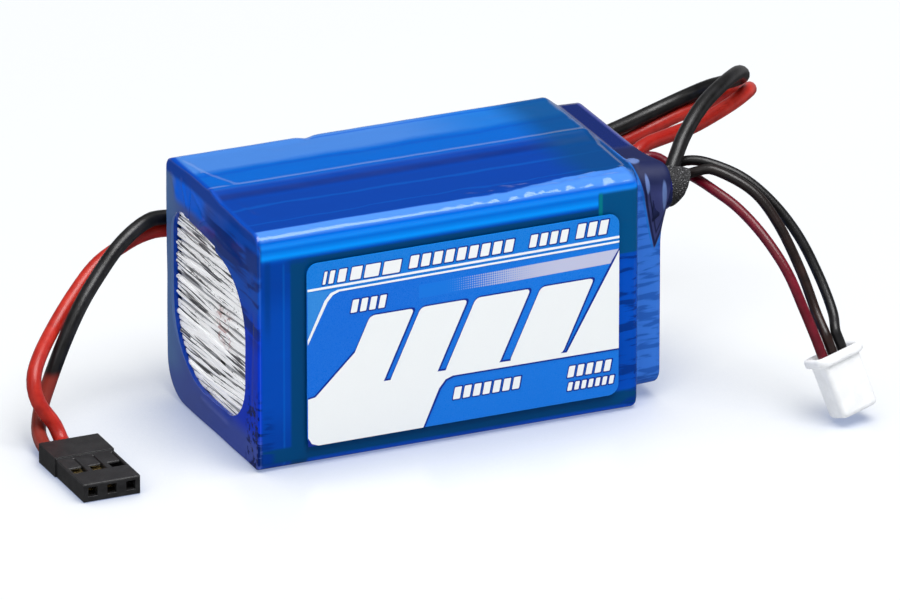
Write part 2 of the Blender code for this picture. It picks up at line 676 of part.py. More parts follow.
def build():
    clear_scene()
    film = make_material("blue_film", (0.01, 0.10, 0.60), 0.12, alpha=0.55)
    foil = make_material("striped_wrap", (0.72, 0.72, 0.74), 0.35, 0.3)
    pouch = make_material("cell_pouch", (0.62, 0.63, 0.66), 0.30, 0.8)
    white_foam = make_material("white_foam", (0.86, 0.86, 0.82), 0.90)
    aluminium = make_material("aluminium_tab", (0.80, 0.81, 0.83), 0.30, 1.0)
    nickel = make_material("nickel", (0.66, 0.63, 0.58), 0.32, 1.0)
    board = make_material("green_board", (0.03, 0.22, 0.10), 0.45)
    paper = make_material("fish_paper", (0.50, 0.42, 0.26), 0.85)
    solder = make_material("solder", (0.70, 0.71, 0.72), 0.28, 1.0)
    tape = make_material("black_cloth_tape", (0.02, 0.02, 0.02), 0.75)
    black = make_material("black_silicone", (0.012, 0.012, 0.013), 0.45)
    red = make_material("red_silicone", (0.62, 0.03, 0.02), 0.45)
    maroon = make_material("maroon_wire", (0.22, 0.01, 0.03), 0.40)
    brown = make_material("brown_wire", (0.07, 0.035, 0.03), 0.40)
    black_plastic = make_material("black_plastic", (0.02, 0.02, 0.022), 0.40)
    white_plastic = make_material("white_plastic", (0.85, 0.86, 0.86), 0.35)
    gold = make_material("gold_contact", (0.85, 0.62, 0.22), 0.25, 1.0)
    tin = make_material("tin_contact", (0.74, 0.74, 0.75), 0.30, 1.0)
    label = make_material("label_print", (0.06, 0.32, 0.80), 0.30)

    add_shrink_film(film)
    add_front_label(label)
    add_filament_wrap(foil)
    add_cells(pouch)
    add_cell_pad(white_foam)
    add_tabs(aluminium, nickel)
    add_connection_board(board)
    add_board_insulator(paper)
    add_series_link(nickel)
    add_solder_joints(solder)
    add_board_cover(white_foam)
    add_exit_tape(tape)
    add_leads(black, red, maroon, brown)
    add_servo_plug(black_plastic, gold)
    add_balance_plug(white_plastic, tin)


build()
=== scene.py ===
"""Looks of the two-cell receiver pack: film, wrap, printed label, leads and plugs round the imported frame.

The CAD frame has its origin at the middle of the pack's underside, with +X to the lead end and the labelled
face at -Y. Shapes are in millimetres and go through mm(), and materials are placed in millimetres too. The
camera, the lights, the balance plug's frame and what the cords say are in metres.
"""

import math

import bmesh
import bpy
from mathutils import Matrix, Vector, noise


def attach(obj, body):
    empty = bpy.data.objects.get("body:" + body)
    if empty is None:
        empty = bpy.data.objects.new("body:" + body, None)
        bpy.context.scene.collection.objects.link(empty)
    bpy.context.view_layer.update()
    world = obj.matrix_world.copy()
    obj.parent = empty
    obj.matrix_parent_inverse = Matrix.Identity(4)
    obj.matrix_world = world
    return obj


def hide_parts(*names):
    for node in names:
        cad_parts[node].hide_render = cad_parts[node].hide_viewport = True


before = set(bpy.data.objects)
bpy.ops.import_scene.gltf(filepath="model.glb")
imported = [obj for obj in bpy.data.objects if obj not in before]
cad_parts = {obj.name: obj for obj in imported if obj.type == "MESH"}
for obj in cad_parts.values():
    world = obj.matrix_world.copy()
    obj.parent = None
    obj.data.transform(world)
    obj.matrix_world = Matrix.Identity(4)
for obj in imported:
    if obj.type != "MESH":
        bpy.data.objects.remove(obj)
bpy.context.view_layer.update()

MM = 0.001

# Pack sizes, the same as the CAD, in millimetres
BLOCK_START = -28.0
BLOCK_END = 24.0
PACK_END = 28.0
HALF_WIDTH = 14.4
TOP_FRONT = 31.6
TOP_BACK = 32.3
RIDGE_TOP = 32.5
PACK_RADII = (1.2, 5.2, 1.6, 1.8)
STEP_RADII = (2.2, 5.0, 2.4, 2.6)
LEAD_START = 26.7
# Front, back, bottom, top at the front, top at the back, corner radii
WINDOW = (-10.0, 13.1, 4.0, 24.6, 26.1, (6.5, 9.5, 3.5, 9.0))
REAR_WINDOW = (-7.0, 11.0, 4.8, 22.5, 22.5, (6.0, 8.0, 8.0, 6.0))
# Front, back, bottom and top of the hood at the lead end
STEP = (-12.4, 13.9, 1.6, 31.3)

# Leads and plugs, in metres
POWER_LEAD = 0.0019
BALANCE_LEAD = 0.0013
SERVO_PITCH = 0.00254
SERVO_CENTRE = -0.0477
BALANCE_PITCH = 0.0015
BALANCE_FRAME = (
    Matrix.Translation((0.0451, -0.0265, 0.0088))
    @ Matrix.Rotation(math.radians(6), 4, "Z")
    @ Matrix.Rotation(math.radians(-20.6), 4, "X")
    @ Matrix.Rotation(math.radians(-12), 4, "Y")
)


def mm(*values):
    return Vector([value * MM for value in values])


def add_object(name, data):
    made = bpy.data.objects.new(name, data)
    bpy.context.scene.collection.objects.link(made)
    return made


def aim(looker, location, direction):
    looker.location = location
    looker.rotation_mode = "QUATERNION"
    looker.rotation_quaternion = direction.to_track_quat("-Z", "Y")


def add_camera():
    target = Vector((0.0010, -0.0077, 0.0160))
    towards = Vector((-0.3756, -0.8459, 0.3786)).normalized()
    distance = 1.643
    data = bpy.data.cameras.new("camera")
    data.lens = 524.6
    data.sensor_width = 36.0
    data.clip_start = 0.05
    data.clip_end = 50.0
    camera = add_object("camera", data)
    aim(camera, target + distance * towards, -towards)
    bpy.context.scene.camera = camera


add_camera()

# ---- shader helper


class Nodes:
    """Short calls that add and link nodes."""

    def __init__(self, tree):
        self.tree = tree

    def add(self, kind, inputs=(), **settings):
        node = self.tree.nodes.new(kind)
        for key, value in settings.items():
            setattr(node, key, value)
        for socket, value in dict(inputs).items():
            self.put(node.inputs[socket], value)
        return node

    def put(self, socket, value):
        if isinstance(value, bpy.types.NodeSocket):
            self.tree.links.new(value, socket)
        elif isinstance(value, tuple) and len(value) == 3 and socket.type == "RGBA":
            socket.default_value = (*value, 1.0)
        else:
            socket.default_value = value


class Shade(Nodes):
    """One Principled material, painted one colour over another."""

    def __init__(self, name, colour, **fixed):
        self.material = bpy.data.materials.new(name)
        self.material.use_nodes = True
        super().__init__(self.material.node_tree)
        self.shader = self.tree.nodes["Principled BSDF"]
        self.painted = colour
        self.put(self.shader.inputs["Base Color"], colour)
        for socket, value in fixed.items():
            self.put(self.shader.inputs[socket.replace("_", " ")], value)
        self.coordinates = None

    def place(self):
        """The point's place in the CAD frame, in millimetres."""
        if self.coordinates is None:
            source = self.add("ShaderNodeTexCoord").outputs["Object"]
            scaled = self.add("ShaderNodeVectorMath", {0: source, "Scale": 1.0 / MM}, operation="SCALE")
            self.coordinates = scaled.outputs["Vector"]
        return self.coordinates

    def axes(self):
        split = self.add("ShaderNodeSeparateXYZ", {0: self.place()})
        return split.outputs[0], split.outputs[1], split.outputs[2]

    def math(self, operation, a, b=0.0, c=0.0):
        return self.add("ShaderNodeMath", {0: a, 1: b, 2: c}, operation=operation).outputs[0]

    def rise(self, value, low, high):
        """0 below low, 1 above high, smooth between."""
        settings = {"interpolation_type": "SMOOTHSTEP", "clamp": True}
        return self.add("ShaderNodeMapRange", {0: value, 1: low, 2: high}, **settings).outputs[0]

    def band(self, value, low, high, soft):
        """1 between low and high, 0 outside, over an edge of twice the softness."""
        return self.both(self.rise(value, low - soft, low + soft), self.rise(value, high + soft, high - soft))

    def both(self, first, *masks):
        """Where all the masks are 1. A mask may be a plain number."""
        for mask in masks:
            first = self.math("MULTIPLY", first, mask)
        return first

    def either(self, first, *masks):
        for mask in masks:
            first = self.math("MAXIMUM", first, mask)
        return first

    def mix(self, factor, a, b):
        node = self.add("ShaderNodeMix", {"Factor": factor, 6: a, 7: b}, data_type="RGBA")
        return node.outputs[2]

    def over(self, below, colour, *masks):
        """The colour over the one below, where all the masks are 1."""
        return self.mix(self.both(*masks), below, colour)

    def paint(self, colour, *masks):
        """Lays a colour over what is there, where all the masks are 1."""
        self.painted = self.over(self.painted, colour, *masks)
        self.put(self.shader.inputs["Base Color"], self.painted)

    def pattern(self, kind, stretch, **inputs):
        placed = self.add("ShaderNodeMapping", {0: self.place(), "Scale": stretch})
        return self.add(kind, {"Vector": placed.outputs[0], **inputs})

    def noise(self, scale, stretch=(1.0, 1.0, 1.0), detail=2.0, distortion=0.0):
        """Noise with scale in features per millimetre; a stretch under 1 makes it longer that way."""
        inputs = {"Scale": scale, "Detail": detail, "Distortion": distortion}
        return self.pattern("ShaderNodeTexNoise", stretch, **inputs).outputs["Fac"]

    def cells(self, scale, stretch=(1.0, 1.0, 1.0)):
        return self.pattern("ShaderNodeTexVoronoi", stretch, Scale=scale).outputs["Distance"]

    def roughness(self, factor, low, high):
        node = self.add("ShaderNodeMapRange", {0: factor, 1: 0.0, 2: 1.0, 3: low, 4: high}, clamp=False)
        self.put(self.shader.inputs["Roughness"], node.outputs[0])

    def bump(self, height, distance):
        node = self.add("ShaderNodeBump", {"Height": height, "Distance": distance, "Strength": 1.0})
        self.put(self.shader.inputs["Normal"], node.outputs[0])

    def surface(self, pattern, low, high, relief):
        """Gloss and relief from one pattern. Gives back the finished material."""
        self.roughness(pattern, low, high)
        self.bump(pattern, relief)
        return self.material


# ---- film (colours are linear)

ROYAL = (0.0, 0.066, 0.45)
DEEP_ROYAL = (0.0, 0.054, 0.37)
TOP_ROYAL = (0.0, 0.037, 0.27)
AZURE_SHEEN = (0.0, 0.095, 0.44)
PERIWINKLE_SHEEN = (0.010, 0.140, 0.50)
PALE_SHEEN = (0.048, 0.175, 0.52)
CYAN_REFLECTION = (0.0, 0.190, 0.70)
SHADE_LINE_BLUE = (0.0, 0.080, 0.50)
GLINT = (0.0, 0.33, 0.95)
MARGIN_BLUE = (0.0, 0.036, 0.26)
COLUMN_BLUE = (0.0, 0.034, 0.17)
TAPE_EDGE = (0.0, 0.17, 0.64)
TEAL = (0.0, 0.046, 0.150)
GREEN_TEAL = (0.0, 0.064, 0.190)
LIVE_GREEN = (0.0, 0.160, 0.200)
NAVY = (0.0, 0.012, 0.120)
INK = (0.001, 0.005, 0.045)
RIM_LIGHT = (0.10, 0.17, 0.48)
VIOLET = (0.060, 0.095, 0.33)
END_BLUE = (0.0, 0.036, 0.56)
END_UPPER = (0.004, 0.075, 0.47)
END_BACK_SHEEN = (0.085, 0.165, 0.36)
END_PAINTED_LIGHT = (0.0, 0.125, 0.78)
END_TOP = (0.0, 0.050, 0.36)
END_INSIDE_SHADE = (0.0, 0.040, 0.36)
EDGE_LIGHT = (0.14, 0.33, 0.78)
HOOD_BLUE = (0.032, 0.150, 0.560)
HOOD_TOP = (0.005, 0.016, 0.110)
HOOD_RIM = (0.06, 0.075, 0.30)
STREAK = (0.0, 0.030, 0.220)
TENT_LIGHT = (0.024, 0.032, 0.130)
SHOULDER_HIGHLIGHT = (0.050, 0.190, 0.600)
DROP_HIGHLIGHT = (0.085, 0.140, 0.330)


def teardrop_highlights(shade, x, z):
    """Mask of two upright painted highlights, shaped like drops, on the film drawn to the spout, and nothing
    elsewhere.
    """
    masks = []
    for drop_x, drop_z, wide, tall in ((25.9, 29.3, 0.32, 1.3), (28.1, 27.6, 0.40, 2.1)):
        across = shade.math("MULTIPLY_ADD", x, 1.0 / wide, -drop_x / wide)
        up = shade.math("MULTIPLY_ADD", z, 1.0 / tall, -drop_z / tall)
        squares = shade.math("ADD", shade.both(across, across), shade.both(up, up))
        masks.append(shade.rise(squares, 1.15, 0.45))
    return shade.either(*masks)


class Film(Shade):
    """The blue film's material, with the places and patterns that its painting shares."""

    def __init__(self):
        super().__init__("blue_shrink_film", ROYAL, IOR=1.33)
        self.x, self.y, self.z = self.axes()
        self.wobble = self.math("MULTIPLY_ADD", self.noise(0.35, (0.35, 1, 1)), 1.6, -0.8)
        self.streaks = self.rise(self.noise(1.25, (0.16, 1, 1), detail=3, distortion=0.3), 0.50, 0.60)

    def tools(self):
        """What each painting function uses most."""
        return self.x, self.y, self.z, self.rise, self.band, self.paint


def paint_top(film):
    """Painted reflections: azure behind the ridge and paler at the back, with a dark wavy line between and teal
    at the lead side. Painted shade darkens the groove in front of the ridge, and faint painted highlights run
    along the front strip.
    """
    x, y, z, rise, band, paint = film.tools()
    top = rise(z, 30.6, 31.3)
    y_wavy = film.math("ADD", y, film.wobble)
    y_steady = film.math("MULTIPLY_ADD", film.wobble, 0.4, y)
    paint(TOP_ROYAL, top)
    # Painted reflection behind the ridge, paler towards the back
    paint(AZURE_SHEEN, top, rise(y, -0.2, 1.0))
    paint(film.mix(rise(x, 0.0, 14.0), PALE_SHEEN, PERIWINKLE_SHEEN), top, rise(y_wavy, 6.0, 7.6))
    paint(DEEP_ROYAL, top, band(y_wavy, 5.2, 5.8, 0.5), 0.55)
    # Painted shade in the groove in front of the ridge
    paint(NAVY, top, band(y, -2.2, -0.9, 0.5), 0.65)
    paint(ROYAL, top, band(y_steady, 12.1, 12.4, 0.15), rise(x, -11.0, -9.0), 0.6)
    # Faint painted highlight lines along the front strip
    paint(AZURE_SHEEN, top, film.either(band(y_wavy, -5.6, -5.2, 0.25), band(y_wavy, -10.3, -10.1, 0.2)), 0.45)
    paint(TEAL, top, rise(film.math("ADD", x, film.wobble), 14.0, 20.0), 0.75)


def paint_front(film):
    """Bright painted reflection band under the shoulder, a painted highlight along the shoulder, and backing
    that shows teal and green round the label.
    """
    x, y, z, rise, band, paint = film.tools()
    front = rise(y, -13.6, -14.1)
    # Painted reflection band, with a painted shade line and a painted glint in it
    paint(CYAN_REFLECTION, front, band(z, 28.3, 30.4, 0.5))
    paint(SHADE_LINE_BLUE, front, band(z, 29.25, 29.75, 0.3), 0.55)
    paint(GLINT, front, band(z, 28.35, 28.85, 0.25), 0.45)
    # Painted highlight along the shoulder, its lower edge ragged
    ragged = film.math("MULTIPLY_ADD", film.wobble, rise(x, -14.0, 16.0), y)
    ragged = film.math("MULTIPLY_ADD", rise(x, 6.0, 20.0), -1.7, ragged)
    paint(SHOULDER_HIGHLIGHT, rise(z, 30.5, 31.0), rise(ragged, -12.5, -12.9), rise(x, 24.3, 22.8))
    paint(TEAL, front, band(z, 26.2, 27.9, 0.25), rise(x, -25.0, -23.0))
    ends = film.either(rise(z, 9.0, 3.0), rise(z, 20.0, 25.0))
    paint(MARGIN_BLUE, front, rise(x, -21.0, -22.0), ends, rise(z, 28.2, 27.4), 0.75)
    paint(COLUMN_BLUE, front, band(x, -27.1, -26.3, 0.25), rise(z, 16.0, 21.0), rise(z, 28.4, 27.6), 0.5)
    paint(TAPE_EDGE, front, band(x, -24.65, -24.40, 0.1), rise(z, 28.0, 27.0), 0.22)
    paint(TEAL, front, band(x, -23.6, -21.4, 0.25), rise(z, 28.0, 27.0))
    paint(TEAL, front, band(z, 0.9, 2.8, 0.25))
    corner = film.both(front, rise(x, 18.2, 18.5), rise(z, 21.2, 21.5), rise(z, 30.2, 29.6))
    paint(GREEN_TEAL, corner)
    paint(LIVE_GREEN, corner, band(x, 18.4, 18.9, 0.15))


def paint_wrap_below(film):
    """The wrap shows through as level dark streaks. A painted highlight marks the block's lead-end edge."""
    x, y, z, rise, band, paint = film.tools()
    beside_label = film.both(rise(x, 20.8, 21.2), rise(z, 21.4, 20.8))
    low_at_plain_end = film.both(rise(x, -25.4, -26.6), rise(z, 9.0, 5.0))
    at_back = film.both(rise(y, 12.5, 14.0), 0.6)
    paint(STREAK, film.streaks, film.either(beside_label, low_at_plain_end, at_back))
    paint(RIM_LIGHT, rise(y, -13.4, -14.0), band(x, 23.85, 24.2, 0.1), rise(z, 30.0, 29.2), 0.55)


def paint_hood(film):
    """Hood at the lead end, dark on top."""
    x, y, z, rise, band, paint = film.tools()
    hood = rise(x, 24.2, 24.7)
    paint(film.over(HOOD_BLUE, STREAK, film.streaks, 0.5), hood)
    hood_top = film.both(hood, rise(z, 29.6, 30.8))
    paint(HOOD_TOP, hood_top)
    paint(HOOD_RIM, hood_top, band(x, 27.2, 27.9, 0.2), rise(y, -5.0, -2.5), 0.6)


def paint_drawn_film(film):
    """Dark film drawn to the spout: a V whose nested folds carry painted shade and whose edge carries a painted
    highlight, its tip low on the hood. Painted highlights lie on its drops and on the drop at the block's
    corner. Gives back the V's mask.
    """
    x, y, z, rise, band, paint = film.tools()
    to_left = film.math("MULTIPLY_ADD", z, 0.196, film.math("SUBTRACT", x, 30.8))
    to_right = film.math("MULTIPLY_ADD", z, 0.41, film.math("SUBTRACT", 18.73, x))
    inwards = film.math("ADD", film.math("MINIMUM", to_left, to_right), film.both(film.wobble, 0.12))
    around = film.both(rise(y, -3.5, -5.5), rise(x, 24.2, 24.5), rise(z, 20.3, 20.9))
    folds = film.either(band(inwards, 0.16, 0.42, 0.07), band(inwards, 0.74, 0.92, 0.06))
    upper = film.both(rise(film.math("ADD", z, film.wobble), 27.6, 29.4), 0.9)
    drawn = film.both(rise(inwards, 0.0, 0.12), around)
    # Painted shade along the nested folds
    paint(film.mix(film.either(folds, upper), TENT_LIGHT, INK), drawn)
    # Painted highlight along the V's edge
    paint(PERIWINKLE_SHEEN, band(inwards, -0.20, 0.04, 0.07), around, 0.7)
    # Painted highlights on the two drops
    paint(DROP_HIGHLIGHT, teardrop_highlights(film, x, z), around)
    # Painted highlight on the drop of film at the block's corner
    from_x = film.math("SUBTRACT", x, 25.2)
    from_y = film.math("SUBTRACT", y, -9.6)
    away = film.math("ADD", film.both(from_x, from_x), film.both(from_y, from_y))
    paint(DROP_HIGHLIGHT, rise(away, 1.0, 0.4), rise(z, 30.2, 30.6))
    return drawn


def paint_plain_end(film):
    """Blue at the front and a painted violet sheen at the back, with the wrap's level bands showing through.
    Painted light brightens a patch near the top, a painted highlight runs along the front edge and painted
    shade lines the window's inner wall.
    """
    x, y, z, rise, band, paint = film.tools()
    # Painted highlight where the front meets the plain end
    paint(EDGE_LIGHT, rise(y, -13.4, -14.1), band(x, -27.95, -27.68, 0.07), rise(z, 31.0, 29.0), 0.9)
    cloudy = film.math("MULTIPLY_ADD", film.noise(0.22, detail=3, distortion=0.6), 9.0, y)
    bands = rise(film.noise(0.55, (1, 0.10, 1)), 0.50, 0.58)
    low_front = rise(y, -9.5, -11.0)
    ring = END_BLUE
    layers = (
        (END_UPPER, rise(z, 17.0, 23.0)),
        # Painted violet sheen, paler still at the back
        (VIOLET, rise(cloudy, -2.0, 14.0)),
        (END_BACK_SHEEN, rise(y, 8.0, 14.0)),
        # Painted light on a patch near the top
        (END_PAINTED_LIGHT, rise(z, 26.4, 28.0), rise(y, 1.0, 4.0), rise(y, 12.5, 11.0)),
        (VIOLET, rise(z, 5.5, 2.5), 0.8),
        (HOOD_TOP, rise(z, 25.5, 26.5), rise(z, 29.6, 28.8), low_front, 0.6),
        (HOOD_TOP, bands, rise(z, 15.0, 19.0), rise(y, 6.0, -2.0), 0.7),
        (NAVY, film.streaks, low_front, rise(z, 12.0, 7.0)),
        (END_TOP, rise(z, 29.9, 30.7)),
    )
    for colour, *masks in layers:
        ring = film.over(ring, colour, *masks)
    paint(ring, rise(x, -27.3, -27.85))
    # Painted shade on the film's inner wall round the window
    across = film.both(rise(x, -27.82, -27.72), rise(x, -26.6, -26.9))
    paint(END_INSIDE_SHADE, across, band(y, -13.7, 13.75, 0.05), band(z, 1.0, 30.3, 0.1))


def film_material():
    film = Film()
    film.paint(DEEP_ROYAL, film.rise(film.noise(0.12, (0.4, 1, 1)), 0.35, 0.65))
    paint_top(film)
    paint_front(film)
    paint_wrap_below(film)
    paint_hood(film)
    drawn = paint_drawn_film(film)
    paint_plain_end(film)
    film.roughness(film.math("MULTIPLY_ADD", drawn, 6.5, film.noise(0.8, detail=3)), 0.05, 0.13)
    film.bump(film.noise(1.3, (0.25, 1, 1), detail=3, distortion=0.4), 0.00001)
    return film.material


def spout_material():
    shade = Shade("dark_film", INK, IOR=1.36)
    x, y, z = shade.axes()
    pleats = shade.noise(0.8, (0.6, 1, 0.5), distortion=0.8)
    shade.paint((0.004, 0.007, 0.110), shade.rise(pleats, 0.45, 0.6))
    # Painted highlights of the two drops where the drawn film meets the spout
    shade.paint(DROP_HIGHLIGHT, teardrop_highlights(shade, x, z), shade.rise(y, -10.0, -11.0))
    shade.roughness(shade.noise(1.2), 0.42, 0.60)
    return shade.material


# ---- other materials

SKY = (0.0, 0.170, 0.62)
LABEL_ROYAL = (0.0, 0.155, 0.64)
LABEL_DEEP = (0.0, 0.125, 0.60)
LABEL_NAVY = (0.0, 0.020, 0.24)
LABEL_WHITE = (0.77, 0.79, 0.79)
LABEL_AZURE = (0.0, 0.150, 0.62)
SILVER = (0.46, 0.48, 0.64)
ROLLED = (1, 0.1, 1)
BLACK_JACKET = ((0.002, 0.002, 0.002), (0.007, 0.007, 0.008))


def strand_material():
    """White strands with dark lines, grey specks and a dull red patch. Their glow is painted light that
    brightens them.
    """
    shade = Shade("filament_strands", (0.96, 0.97, 0.98), IOR=1.45, Emission_Strength=0.20)
    y, z = shade.axes()[1:]
    fine = shade.noise(2.6, (1, 0.035, 1), detail=4)
    specks = shade.rise(shade.noise(4.0, (1, 0.6, 1)), 0.55, 0.70)
    cut = shade.both(shade.band(y, -4.0, 0.5, 1.2), shade.band(z, 12.5, 17.0, 0.9))
    shade.paint((0.06, 0.06, 0.07), shade.rise(fine, 0.555, 0.62))
    shade.paint((0.10, 0.105, 0.11), shade.rise(shade.noise(0.6, (1, 0.16, 1)), 0.54, 0.58), specks, 0.85)
    shade.paint((0.30, 0.10, 0.09), cut, shade.rise(shade.noise(0.9, distortion=0.5), 0.45, 0.60), 0.7)
    # Painted light: the strands glow in their own colours
    shade.put(shade.shader.inputs["Emission Color"], shade.painted)
    return shade.surface(fine, 0.22, 0.45, 0.00006)


def wrap_material():
    shade = Shade("filament_wrap_backing", (0.010, 0.010, 0.012), IOR=1.45)
    fine = shade.noise(2.0, (0.12, 0.12, 1), detail=4)
    shade.paint((0.30, 0.31, 0.33), shade.rise(fine, 0.45, 0.62))
    return shade.surface(fine, 0.3, 0.6, 0.00008)


def label_base_material():
    shade = Shade("label_print_blue", LABEL_DEEP, IOR=1.32)
    x, _, z = shade.axes()
    grain = shade.noise(9.0, detail=3)
    shade.paint(LABEL_ROYAL, shade.rise(x, -16.0, 14.0))
    shade.paint(SKY, shade.rise(z, 22.9, 23.1))
    shade.paint((0.06, 0.26, 0.66), shade.rise(grain, 0.50, 0.75), 0.18)
    shade.roughness(grain, 0.22, 0.36)
    return shade.material


def print_material(name, colour, speck):
    shade = Shade(name, colour, IOR=1.32)
    grain = shade.noise(9.0, detail=3)
    shade.paint(speck, shade.rise(grain, 0.5, 0.75), 0.2)
    shade.roughness(grain, 0.22, 0.38)
    return shade.material


def halftone_material():
    """Silver dots on blue that grow until they meet at the right."""
    shade = Shade("label_print_dots", LABEL_ROYAL, IOR=1.32)
    x = shade.axes()[0]
    pitch = 0.30
    inputs = {"Vector": shade.place(), "Scale": 1.0 / pitch, "Randomness": 0.0}
    dots = shade.add("ShaderNodeTexVoronoi", inputs, voronoi_dimensions="3D").outputs["Distance"]
    size = shade.math("MULTIPLY_ADD", shade.rise(x, -14.0, 14.0), 0.62, 0.22)
    tone = shade.mix(shade.rise(x, -10.0, 14.0), (0.16, 0.25, 0.50), SILVER)
    shade.paint(tone, shade.rise(shade.math("SUBTRACT", dots, size), 0.06, -0.06))
    shade.roughness(dots, 0.25, 0.35)
    return shade.material


def rubber_material(name, dark, light, shade_beside_exit=None):
    """Silicone wire jacket: soft gloss with fine rub marks. It may carry painted shade beside the lead exit."""
    shade = Shade(name, dark, IOR=1.40)
    slow = shade.noise(0.6, detail=3)
    fine = shade.noise(5.0, detail=4)
    shade.paint(light, shade.rise(slow, 0.35, 0.7))
    # Painted shade: the jacket darkens beside the lead exit
    if shade_beside_exit:
        darker, outer, inner, amount = shade_beside_exit
        x = shade.axes()[0]
        shade.paint(darker, shade.rise(x, outer, inner), shade.rise(x, 25.0, 28.0), amount)
    shade.roughness(shade.mix(0.5, slow, fine), 0.26, 0.48)
    shade.bump(fine, 0.00002)
    return shade.material


def black_power_material():
    """Black jacket that turns dull red just before the servo-pattern plug."""
    dark, light = BLACK_JACKET
    shade = Shade("black_power_silicone", dark, IOR=1.40)
    x, _, z = shade.axes()
    fine = shade.noise(5.0, detail=4)
    shade.paint(light, shade.rise(shade.noise(0.6, detail=3), 0.35, 0.7))
    shade.paint((0.20, 0.022, 0.014), shade.rise(z, 8.6, 7.4), shade.rise(x, -45.0, -46.2))
    return shade.surface(fine, 0.26, 0.48, 0.00002)


def plastic_material(name, dark, light, low, high, glow=0.0):
    """Moulded plastic with a faint grain; glow is painted light that brightens its shaded sides."""
    shade = Shade(name, dark, IOR=1.46, Emission_Color=(0.95, 0.97, 1.0), Emission_Strength=glow)
    fine = shade.noise(6.0, detail=4)
    shade.paint(light, shade.rise(shade.noise(0.7, detail=3), 0.35, 0.7))
    return shade.surface(fine, low, high, 0.00002)


def cloth_material():
    """Black cloth tape: woven threads with bright specks."""
    shade = Shade("black_cloth_tape", (0.030, 0.030, 0.032), IOR=1.45)
    threads = shade.cells(4.2, (1.0, 1.0, 1.6))
    specks = shade.rise(shade.noise(5.5, detail=4), 0.60, 0.70)
    shade.paint((0.006, 0.006, 0.007), shade.rise(threads, 0.1, 0.6))
    shade.paint((0.34, 0.34, 0.36), specks, 0.8)
    shade.roughness(specks, 0.62, 0.30)
    shade.bump(threads, 0.00012)
    return shade.material


def foam_material():
    shade = Shade("white_foam", (0.62, 0.61, 0.58))
    pores = shade.cells(3.0)
    shade.paint((0.84, 0.84, 0.80), shade.rise(pores, 0.0, 0.5))
    return shade.surface(pores, 0.95, 0.80, 0.0002)


def plain_material(shade, pattern, light, low, high, relief):
    """One pattern sets the colour, the gloss and the relief."""
    shade.paint(light, pattern)
    return shade.surface(pattern, low, high, relief)


def metal_material(name, dark, light, low, high, stretch=(1.0, 1.0, 1.0)):
    shade = Shade(name, dark, Metallic=1.0)
    return plain_material(shade, shade.noise(4.0, stretch, detail=4), light, low, high, 0.00001)


def board_material():
    shade = Shade("green_board", (0.02, 0.20, 0.09), IOR=1.5)
    return plain_material(shade, shade.cells(2.5), (0.03, 0.28, 0.12), 0.3, 0.45, 0.00003)


def paper_material():
    shade = Shade("fish_paper", (0.42, 0.34, 0.20))
    fibres = shade.noise(2.0, (1.0, 0.3, 1.0), detail=5)
    return plain_material(shade, fibres, (0.58, 0.50, 0.32), 0.75, 0.9, 0.00003)


def pouch_material():
    shade = Shade("cell_pouch", (0.52, 0.53, 0.56), Metallic=0.8)
    crumples = shade.noise(0.8, detail=4, distortion=0.8)
    return plain_material(shade, crumples, (0.72, 0.73, 0.76), 0.22, 0.42, 0.0001)


MATERIALS = {
    "film": film_material(),
    "spout": spout_material(),
    "strands": strand_material(),
    "wrap": wrap_material(),
    "label": label_base_material(),
    "white_print": print_material("label_print_white", LABEL_WHITE, (0.60, 0.64, 0.69)),
    "navy_print": print_material("label_print_navy", LABEL_NAVY, (0.0, 0.03, 0.30)),
    "azure_print": print_material("label_print_azure", LABEL_AZURE, (0.05, 0.22, 0.66)),
    "sky_print": print_material("label_print_sky", (0.02, 0.21, 0.62), (0.12, 0.36, 0.72)),
    "dots": halftone_material(),
    "black_wire": rubber_material("black_silicone", *BLACK_JACKET),
    "black_power_wire": black_power_material(),
    # The red and brown jackets carry painted shade beside the lead exit
    "red_wire": rubber_material("red_silicone", (0.32, 0.010, 0.005), (0.42, 0.020, 0.010),
                                ((0.24, 0.004, 0.002), 48.0, 40.0, 0.6)),
    "maroon_wire": rubber_material("maroon_wire", (0.085, 0.000, 0.006), (0.13, 0.002, 0.012)),
    "brown_wire": rubber_material("brown_wire", (0.010, 0.004, 0.003), (0.024, 0.008, 0.006),
                                  ((0.005, 0.004, 0.004), 46.0, 39.0, 0.85)),
    "black_plastic": plastic_material("black_plastic", (0.007, 0.007, 0.008), (0.014, 0.014, 0.015),
                                      0.36, 0.58),
    # The white plug's glow is painted light
    "white_plastic": plastic_material("white_plastic", (0.62, 0.63, 0.64), (0.68, 0.69, 0.70),
                                      0.40, 0.55, 0.16),
    "gold": metal_material("gold_contact", (0.72, 0.50, 0.16), (0.95, 0.74, 0.34), 0.18, 0.34),
    "tin": metal_material("tin_contact", (0.62, 0.62, 0.64), (0.82, 0.82, 0.84), 0.22, 0.38),
    "nickel": metal_material("nickel_strip", (0.56, 0.54, 0.50), (0.74, 0.71, 0.66), 0.24, 0.4, ROLLED),
    "aluminium": metal_material("aluminium_tab", (0.72, 0.73, 0.75), (0.86, 0.87, 0.89), 0.24, 0.4, ROLLED),
    "solder": metal_material("solder", (0.60, 0.61, 0.62), (0.80, 0.81, 0.82), 0.15, 0.35),
    "cloth": cloth_material(),
    "board": board_material(),
    "foam": foam_material(),
    "paper": paper_material(),
    "pouch": pouch_material(),
}

# ---- leads

